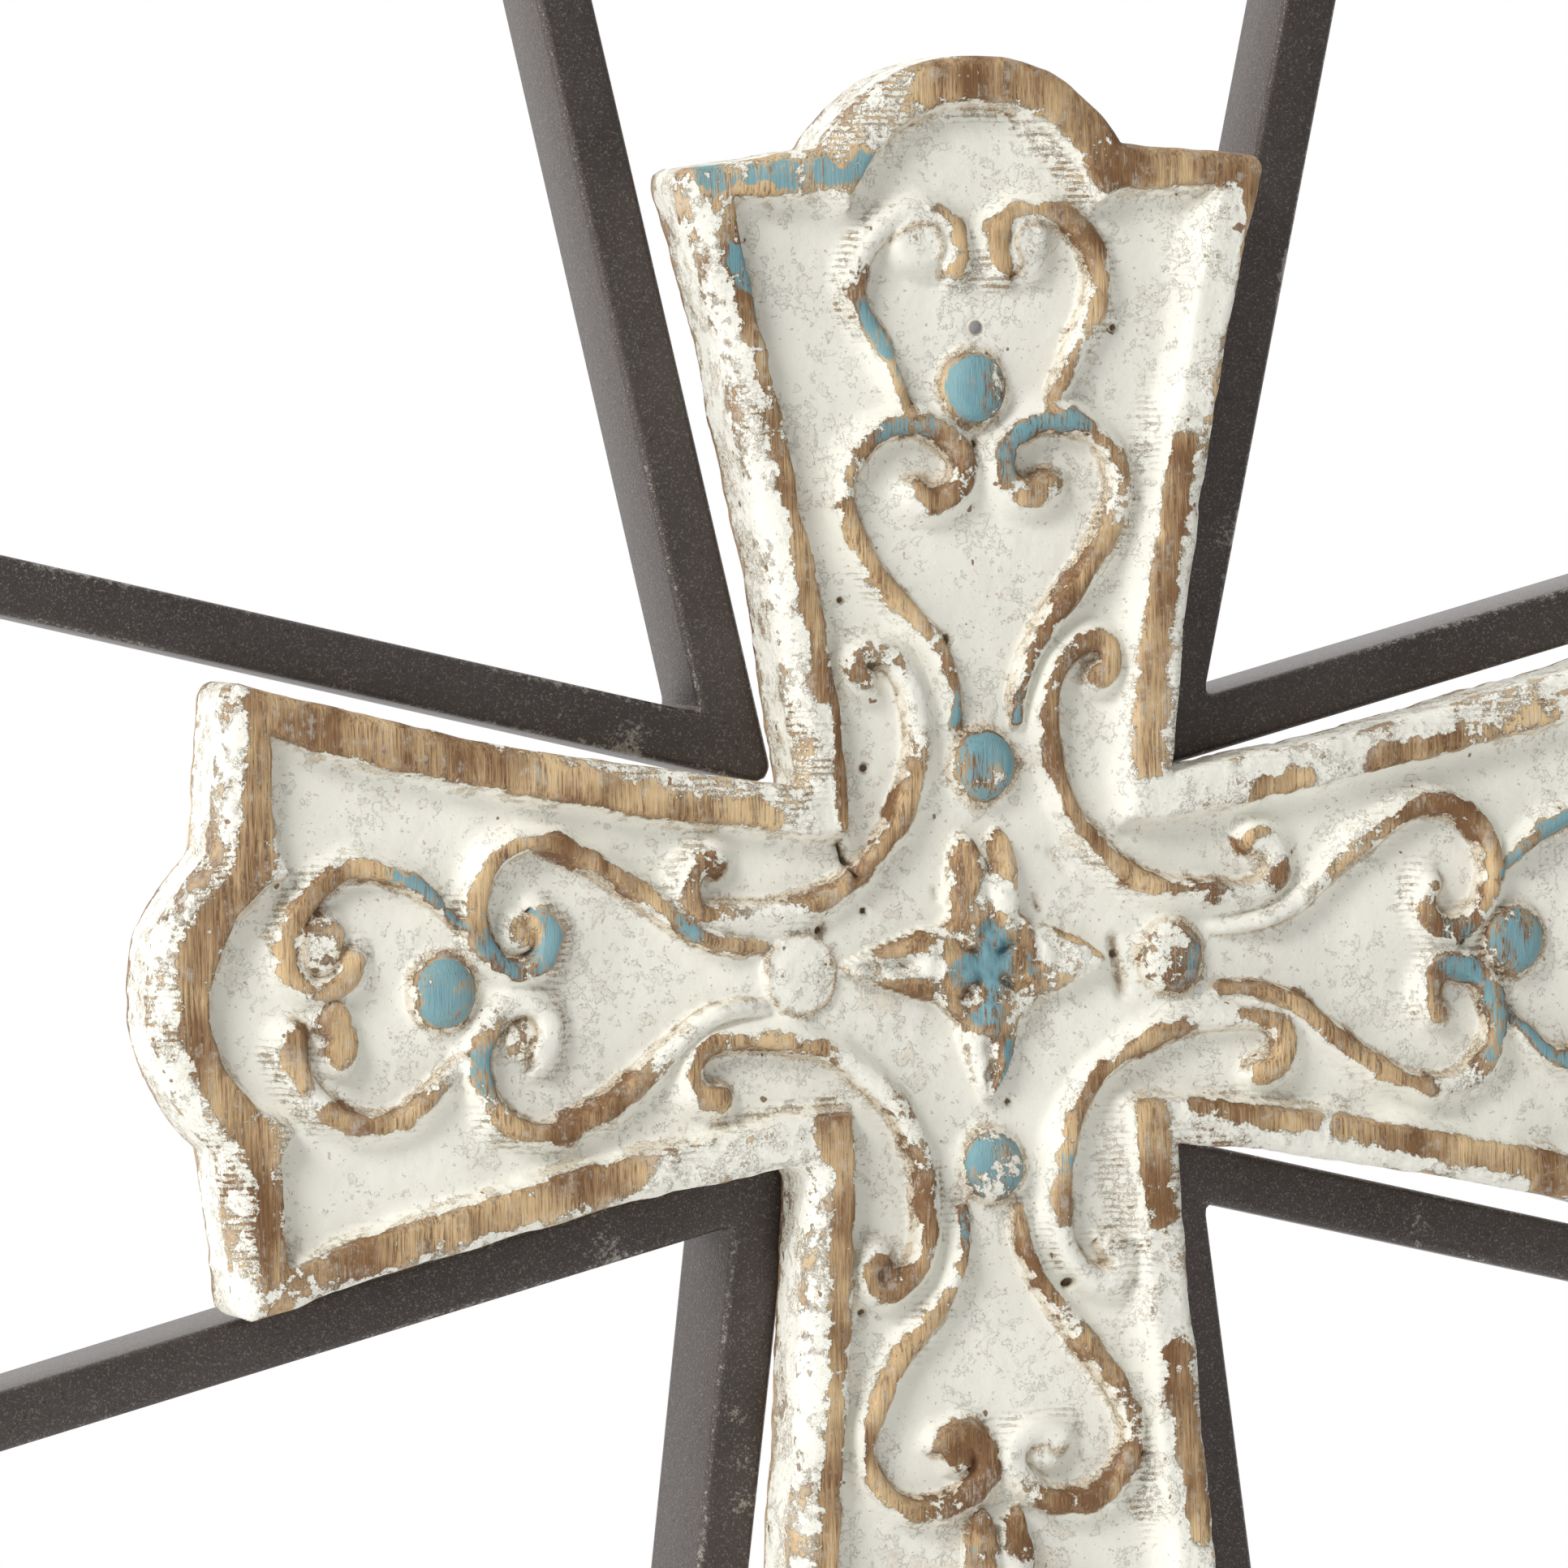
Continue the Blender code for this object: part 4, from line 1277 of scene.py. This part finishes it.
def painted_wood(sizes):
    """Cream-white paint over blue, worn through to wood with upright grain."""
    material, sheet, shader = new_material("painted_wood")
    place = sheet.wire(sheet.make("ShaderNodeTexCoord"), "Object")
    finish = sheet.make("ShaderNodeAttribute", {"attribute_name": "finish"})
    parts = sheet.make("ShaderNodeSeparateColor", Color=finish.outputs["Color"])
    bare, blue, dirt_and_shade = (sheet.wire(parts, index) for index in range(3))
    nicks = sheet.wire(finish, "Alpha")
    level = sheet.wire(sheet.make("ShaderNodeSeparateXYZ", Vector=place), "Z")

    grain_place = sheet.stretched(place, GRAIN_STRETCH)
    grain = sheet.noise(grain_place, 1500.0, 3.0, 0.75)
    broad_grain = sheet.noise(grain_place, 170.0, 2.0, 0.5)
    stain = sheet.noise(place, 48.0, 3.0, 0.6)
    ragged = sheet.noise(place, 300.0, 5.0, 0.72)
    chips = sheet.noise(place, 85.0, 3.0, 0.6)
    vein = sheet.noise(place, 260.0, 3.0, 0.65)
    soft = sheet.noise(place, 24.0, 2.0, 0.6)
    specks = sheet.noise(place, 950.0, 2.0, 0.5)
    spots = sheet.noise(place, 222.0, 2.0, 0.45)
    lumps = sheet.noise(place, 170.0, 3.0, 0.6)

    # Bare wood: light and dark grain, darker in the cuts with dirt and painted shade, with paint dust
    # left in it.
    shade = grain * 0.8 + broad_grain * 0.6 + stain * 0.9 + soft * 0.9 + dirt_and_shade * 0.25
    wood = sheet.blend(
        sheet.step(shade, 1.22, 1.88), colour(sizes.light_wood, 1.15), colour(sizes.dark_wood, 1.2)
    )
    lines = sheet.step(grain + (broad_grain - 0.5) * 0.4, 0.53, 0.63)
    wood = sheet.blend(lines * 0.65, wood, colour(sizes.dark_wood, 0.85))
    dust = sheet.step(ragged + (grain - 0.5) * 0.9 + (chips - 0.5) * 0.6, 0.55, 0.74)
    wood = sheet.blend(dust * 0.35, wood, colour(sizes.paint, 0.92))

    # Blue paint, left on the wood.
    blue_there = sheet.step(blue - grain * 1.2 + (chips - 0.5) * 1.1 - ragged * 0.2, 0.18, 0.38)
    blue_paint = sheet.blend(stain, colour(sizes.blue, 1.2), colour(sizes.blue, 0.75))
    under = sheet.blend(blue_there * 0.9, wood, blue_paint)

    # White paint: where it has come off, and the layers that it flakes in.
    crust = (bare * 1.3 + nicks * 0.7 + dirt_and_shade * 0.5 + (chips - 0.5) * 1.6 - 0.2).clamped()
    tooth = sheet.math("SINE", level * TEETH_SCALE + chips * 10.0)
    tooth = sheet.step(tooth + (ragged - 0.5) * 6.0, 0.35, 1.0) * nicks
    worn = bare * 0.82 + (ragged - 0.5) * 1.5 + (chips - 0.5) * 1.2 + tooth * 0.34
    loss = sheet.step(worn, 0.505, 0.525)
    kept = 1.0 - loss
    lip = sheet.step(worn, 0.43, 0.50) * kept
    layer = chips * 0.45 + ragged * 0.55 + crust * 0.06
    thick = sheet.step(layer, 0.545, 0.56)
    flake_edge = sheet.step(layer, 0.525, 0.545) * (1.0 - thick) * (crust * 1.4 + 0.03).clamped()
    crack = (1.0 - sheet.step(sheet.math("ABSOLUTE", vein - 0.5), 0.006, 0.026)) * crust
    crack = sheet.math("MAXIMUM", crack, flake_edge)
    fleck = sheet.step(ragged + (chips - 0.5) * 0.5 + (soft - 0.5) * 0.5, 0.56, 0.72)
    # A warm brown tone, strongest in the cuts: dirt with painted shade.
    warm = dirt_and_shade * 0.55 + crust * 0.5 + (ragged - 0.5) * 1.6 + (chips - 0.5) * 0.6

    # Dirt and wear over the white paint, with painted shade in the cuts: how much of it, and its tone.
    tones = colour(sizes.paint, 1.06), colour(sizes.paint, 0.93)
    paint = sheet.blend(sheet.step(soft, 0.3, 0.75), *tones)
    for share, tone, factor in (
        (fleck * 0.12, sizes.light_wood, 0.85),
        (sheet.step(warm, 0.20, 0.95) * 0.55, sizes.light_wood, 0.84),
        (tooth * sheet.step(ragged, 0.44, 0.62) * 0.75, sizes.light_wood, 0.42),
        (crack * 0.85, sizes.light_wood, 0.42),
        (sheet.step(specks, 0.68, 0.72) * 0.5, sizes.dark_wood, 2.2),
        (sheet.step(spots, 0.735, 0.75) * 0.9, sizes.dark_wood, 1.3),
        (lip * 0.6, sizes.light_wood, 0.37),
    ):
        paint = sheet.blend(share, paint, colour(tone, factor))

    surface = sheet.blend(loss, paint, under)
    # The deepest cuts, the holes and the nail's rim are painted almost black: painted shade with dirt.
    deep_dirt_and_shade = sheet.step(dirt_and_shade + (ragged - 0.5) * 0.6, 1.0, 1.5)
    surface = sheet.blend(deep_dirt_and_shade * 0.88, surface, colour(sizes.dark_wood, 0.4))
    off_nail = sheet.away(place, nail_top(sizes))
    nail_head = 1.0 - sheet.step(off_nail, 0.8 * NAIL_RADIUS, 1.05 * NAIL_RADIUS)
    surface = sheet.blend(nail_head * 0.85, surface, NAIL_GREY)

    relief = 0.3 + lumps * 0.4 + crust * (ragged * 0.6 + lumps * 0.2) + thick * 0.14 - tooth * 0.2
    height = kept * relief + loss * (grain * 0.3 + lumps * 0.15)
    bump = sheet.make("ShaderNodeBump", Strength=1.0, Distance=1.2 * MM, Height=height)
    sheet.put(shader.inputs["Normal"], bump.outputs[0])
    sheet.put(shader.inputs["Base Color"], surface)
    sheet.put(shader.inputs["Roughness"], 0.62 + loss * 0.12 - blue_there * loss * 0.15)
    shader.inputs["Specular IOR Level"].default_value = 0.35
    return material


def rubbed_places():
    """Where the finish is rubbed pale, as places in the room and how far each reaches."""
    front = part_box("frame_top_end_bar")[0][1]
    for x, y, reach in RUBBED_PLACES:
        yield (x * MM, front, y * MM + middle_height()), reach * MM


def frame_line():
    """The frame's inner line in plan with its bends rounded, and the step to the outer line."""
    inner = frame_corners()
    outer = [corner + step for corner, step in zip(inner, mitres(inner))]
    line, steps = [], []
    for index in range(len(inner)):
        at_neck = index % 3 == 1
        if not at_neck:
            line.append(inner[index])
            steps.append(outer[index] - inner[index])
            continue
        bends = []
        for loop, radius in zip((inner, outer), BEND_RADII):
            near = (loop[index - 1], loop[index], loop[(index + 1) % len(loop)])
            bend = rounded(*(np.array(place) for place in near), radius)
            length = np.hypot(*np.diff(bend, axis=0).T).sum()
            bends.append(resample(bend, length / BEND_STEPS))
        line += [Vector(place) for place in bends[0]]
        steps += [Vector(step) for step in bends[1] - bends[0]]
    return line, steps


def bronzed_steel(sizes):
    """Dark bronze-grey finish with a fine pale speckle, rubbed pale in places, with a painted sheen
    along the bevelled edges.
    """
    material, sheet, shader = new_material("bronzed_steel")
    place = sheet.wire(sheet.make("ShaderNodeTexCoord"), "Object")
    speckle = sheet.noise(place, 2100.0, 2.0, 0.7)
    cloud = sheet.noise(place, 24.0, 4.0, 0.6)
    scuffs = sheet.noise(place, 14.0, 5.0, 0.7)
    grit = sheet.noise(place, 650.0, 3.0, 0.65)
    edge = sheet.wire(sheet.make("ShaderNodeAttribute", {"attribute_name": "edge"}), "Fac")
    tone = sheet.blend(cloud, colour(sizes.bronze, 0.65), colour(sizes.bronze, 1.5))
    tone = sheet.blend(sheet.step(speckle, 0.54, 0.70) * 0.4, tone, colour(sizes.rubbed))
    tone = sheet.blend(sheet.step(grit, 0.56, 0.70) * 0.4, tone, colour(sizes.bronze, 0.25))
    # Paler on the bevelled edges, a painted sheen, added to the rubbed wear of the scuffs and rubbed
    # places.
    rubbed = scuffs + edge * 0.2
    for point, reach in rubbed_places():
        rubbed = rubbed + 0.3 * (1.0 - sheet.step(sheet.away(place, point), 0.0, 1.2 * reach))
    rubbed = sheet.step(rubbed + (grit - 0.5) * 1.3 + (speckle - 0.5) * 0.5, 0.74, 1.05)
    tone = sheet.blend(rubbed * 0.7, tone, colour(sizes.rubbed, 1.1))
    bump = sheet.make(
        "ShaderNodeBump", Strength=0.7, Distance=0.5 * MM, Height=grit * 0.5 + speckle * 0.5
    )
    sheet.put(shader.inputs["Normal"], bump.outputs[0])
    sheet.put(shader.inputs["Base Color"], tone)
    sheet.put(shader.inputs["Roughness"], 0.36 + cloud * 0.16)
    shader.inputs["Metallic"].default_value = 0.75
    return material


def tube_tree():
    """The node tree that sweeps the tube's section round the frame's line, mitred at its corners."""
    tree = bpy.data.node_groups.new("welded_tube_line", "GeometryNodeTree")
    for name, way, kind in (
        ("Line", "INPUT", "NodeSocketGeometry"),
        ("Tube depth", "INPUT", "NodeSocketFloat"),
        ("Finish", "INPUT", "NodeSocketMaterial"),
        ("Tube", "OUTPUT", "NodeSocketGeometry"),
    ):
        tree.interface.new_socket(name, in_out=way, socket_type=kind)
    sheet = NodeSheet(tree)
    given = sheet.make("NodeGroupInput")

    def stored(geometry, name, value):
        """The geometry with a vector kept at each point under a name."""
        node = sheet.make(
            "GeometryNodeStoreNamedAttribute", {"data_type": "FLOAT_VECTOR", "domain": "POINT"},
            Geometry=geometry, Name=name, Value=value,
        )
        return node.outputs[0]

    def named(name):
        """The vector kept under a name."""
        node = sheet.make("GeometryNodeInputNamedAttribute", {"data_type": "FLOAT_VECTOR"}, Name=name)
        return node.outputs[0]

    def plus(first, second):
        """The sum of two vectors."""
        node = sheet.make("ShaderNodeVectorMath", {"operation": "ADD"})
        sheet.put(node.inputs[0], first)
        sheet.put(node.inputs[1], second)
        return node.outputs[0]

    position = sheet.make("GeometryNodeInputPosition").outputs[0]
    rail = sheet.make("GeometryNodeMeshToCurve", Mesh=given.outputs["Line"]).outputs[0]
    rail = stored(rail, "corner", position)
    section = sheet.make("GeometryNodeCurvePrimitiveQuadrilateral", Width=1.0, Height=1.0).outputs[0]
    section = stored(section, "share", position)
    swept = sheet.make("GeometryNodeCurveToMesh", Curve=rail, Profile_Curve=section).outputs[0]

    share = sheet.make("ShaderNodeSeparateXYZ", Vector=named("share"))
    across = sheet.wire(share, 0) + 0.5
    depth = (sheet.wire(share, 1) + 0.5) * sheet.wire(given, "Tube depth") * -1.0
    lift = sheet.make("ShaderNodeCombineXYZ", Y=depth)
    step = sheet.make(
        "ShaderNodeVectorMath", {"operation": "SCALE"}, Vector=named("mitre"), Scale=across
    )
    place = plus(plus(named("corner"), step.outputs[0]), lift.outputs[0])
    moved = sheet.make("GeometryNodeSetPosition", Geometry=swept, Position=place).outputs[0]
    real = sheet.make("GeometryNodeRealizeInstances", Geometry=moved).outputs[0]
    finished = sheet.make("GeometryNodeSetMaterial", Geometry=real, Material=given.outputs["Finish"])
    sheet.make("NodeGroupOutput", Tube=finished.outputs[0])
    return tree


def set_input(modifier, tree, name, value):
    """Sets a modifier's input by its socket's identifier."""
    for item in tree.interface.items_tree:
        if item.item_type == "SOCKET" and item.in_out == "INPUT" and item.name == name:
            modifier[item.identifier] = value


def swept_tube(context, material):
    """The frame's sharp-edged tube as a plain mesh, made by the node tree."""
    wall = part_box("frame_top_end_bar")[1][1]
    corners, steps = frame_line()
    count = len(corners)
    line = bpy.data.meshes.new("frame_line")
    places = [(corner.x, wall, corner.y + middle_height()) for corner in corners]
    line.from_pydata(places, [(index, (index + 1) % count) for index in range(count)], [])
    attribute = line.attributes.new("mitre", "FLOAT_VECTOR", "POINT")
    for item, step in zip(attribute.data, steps):
        item.vector = (step.x, 0.0, step.y)
    source = bpy.data.objects.new("frame_line", line)
    context.scene.collection.objects.link(source)
    modifier = source.modifiers.new("Tube", "NODES")
    modifier.node_group = tube_tree()
    set_input(modifier, modifier.node_group, "Tube depth", TUBE_DEPTH)
    set_input(modifier, modifier.node_group, "Finish", material)
    graph = context.evaluated_depsgraph_get()
    mesh = bpy.data.meshes.new_from_object(source.evaluated_get(graph))
    bpy.data.objects.remove(source, do_unlink=True)
    return mesh


def lean_lower_left(shape):
    """Leans the front of the tubes at the lower left neck to the right."""
    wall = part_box("frame_top_end_bar")[1][1]
    neck = Vector((-FRAME_NECK_X, middle_height() - FRAME_NECK_Y))
    for vertex in shape.verts:
        away = (vertex.co.xz - neck).length
        front = (wall - vertex.co.y) / TUBE_DEPTH
        vertex.co.x += LOWER_LEFT_LEAN * front * float(smoothstep(*LEAN_REACHES, away))


class WALLCROSS_OT_steel_frame(bpy.types.Operator):
    """Sweep the welded steel frame"""

    bl_idname = "wallcross.steel_frame"
    bl_label = "Steel frame"

    def execute(self, context):
        sizes = context.scene.wallcross_steel
        material = bronzed_steel(sizes)
        mesh = swept_tube(context, material)
        shape = bmesh.new()
        shape.from_mesh(mesh)
        bmesh.ops.remove_doubles(shape, verts=shape.verts, dist=SAME_PLACE)
        bmesh.ops.recalc_face_normals(shape, faces=shape.faces)
        edges = [edge for edge in shape.edges if edge.calc_face_angle(0.0) > BEVELLED_ANGLE]
        bmesh.ops.bevel(
            shape, geom=edges, offset=sizes.edge_radius, segments=BEVEL_SEGMENTS, profile=0.5,
            affect="EDGES",
        )
        lean_lower_left(shape)
        shape.normal_update()
        shape.to_mesh(mesh)
        # The bevelled edges, which the finish paints with a pale sheen.
        slanted = [0.2 < abs(face.normal.y) < 0.98 for face in shape.faces]
        sheen_edges = [all(slanted[face.index] for face in vertex.link_faces) for vertex in shape.verts]
        shape.free()
        store(mesh, "edge", "FLOAT", np.array(sheen_edges, float))
        mesh.materials.clear()
        mesh.materials.append(material)
        piece = bpy.data.objects.new("welded_frame", mesh)
        context.scene.collection.objects.link(piece)
        mesh.shade_smooth()
        mesh.set_sharp_from_angle(angle=TUBE_CREASE)
        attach(piece, BODY)
        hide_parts(*FRAME_NODES)
        return {"FINISHED"}


def stage_floor(level):
    """A plain pale floor."""
    material, _, shader = new_material("stage_white")
    shader.inputs["Base Color"].default_value = (0.86, 0.86, 0.86, 1.0)
    shader.inputs["Roughness"].default_value = 0.9
    signs = ((-1, -1), (1, -1), (1, 1), (-1, 1))
    corners = [(x * FLOOR_REACH, y * FLOOR_REACH, level) for x, y in signs]
    new_piece("stage_floor", corners, [[0, 1, 2, 3]], material)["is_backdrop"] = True


def soft_sky(sizes):
    """Even light from all round, stronger from behind the cross, which the camera sees as white."""
    world = bpy.data.worlds.new("soft_sky")
    world.use_nodes = True
    sheet = NodeSheet(world.node_tree)
    background = world.node_tree.nodes["Background"]
    background.inputs["Color"].default_value = (1.0, 1.0, 1.0, 1.0)
    seen = sheet.wire(sheet.make("ShaderNodeLightPath"), "Is Camera Ray")
    direction = sheet.make("ShaderNodeTexCoord").outputs["Generated"]
    behind = sheet.wire(sheet.make("ShaderNodeSeparateXYZ", Vector=direction), "Y")
    around = sheet.step(behind, -0.15, 0.5) * (sizes.backdrop - sizes.sky) + sizes.sky
    sheet.put(background.inputs["Strength"], around * (1.0 - seen) + seen)
    return world


class WALLCROSS_OT_stage(bpy.types.Operator):
    """Set up the floor, the lights and the camera"""

    bl_idname = "wallcross.stage"
    bl_label = "Stage"

    def execute(self, context):
        scene = context.scene
        sizes = scene.wallcross_stage
        stage_floor(CAD_BOX[0][2] - sizes.floor_drop)
        scene.world = soft_sky(sizes)
        for name, (place, share, size) in LIGHTS.items():
            data = bpy.data.lights.new(name, "AREA")
            data.energy = sizes.key_power * share
            data.size = size
            light = bpy.data.objects.new(name, data)
            light.location = place
            aim = Vector(LIGHTS_AIM) - Vector(place)
            light.rotation_euler = aim.to_track_quat("-Z", "Y").to_euler()
            scene.collection.objects.link(light)

        camera_data = bpy.data.cameras.new("photo_view")
        camera_data.lens = CAMERA_LENS
        camera_data.sensor_width = SENSOR_WIDTH
        camera_data.clip_end = 50.0
        camera = bpy.data.objects.new("photo_view", camera_data)
        camera.location = CAMERA_PLACE
        camera.rotation_euler = [math.radians(angle) for angle in CAMERA_TURN]
        scene.collection.objects.link(camera)
        scene.camera = camera
        scene.view_settings.view_transform = "Standard"
        return {"FINISHED"}


class WALLCROSS_PT_panel(bpy.types.Panel):
    """Lists the steps that build the wall cross"""

    bl_label = "Wall cross"
    bl_idname = "WALLCROSS_PT_panel"
    bl_space_type = "VIEW_3D"
    bl_region_type = "UI"
    bl_category = "Wall cross"

    def draw(self, context):
        for group in ("wallcross_wood", "wallcross_steel", "wallcross_stage"):
            settings = getattr(context.scene, group)
            box = self.layout.box()
            for name in settings.__annotations__:
                box.prop(settings, name)
        for operator in OPERATORS:
            self.layout.operator(operator.bl_idname)


OPERATORS = (WALLCROSS_OT_wood, WALLCROSS_OT_steel_frame, WALLCROSS_OT_stage)
GROUPS = {
    "wallcross_wood": WALLCROSS_PG_wood,
    "wallcross_steel": WALLCROSS_PG_steel,
    "wallcross_stage": WALLCROSS_PG_stage,
}


def register():
    for item in (*GROUPS.values(), *OPERATORS, WALLCROSS_PT_panel):
        bpy.utils.register_class(item)
    for name, group in GROUPS.items():
        setattr(bpy.types.Scene, name, PointerProperty(type=group))


def unregister():
    for name in GROUPS:
        delattr(bpy.types.Scene, name)
    for item in reversed((*GROUPS.values(), *OPERATORS, WALLCROSS_PT_panel)):
        bpy.utils.unregister_class(item)


def main():
    register()
    bpy.ops.wallcross.wood()
    bpy.ops.wallcross.steel_frame()
    bpy.ops.wallcross.stage()
    boxes = {"cad": CAD_BOX, "visual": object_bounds()}
    lists = {name: [list(map(float, corner)) for corner in box] for name, box in boxes.items()}


if __name__ == "__main__":
    main()
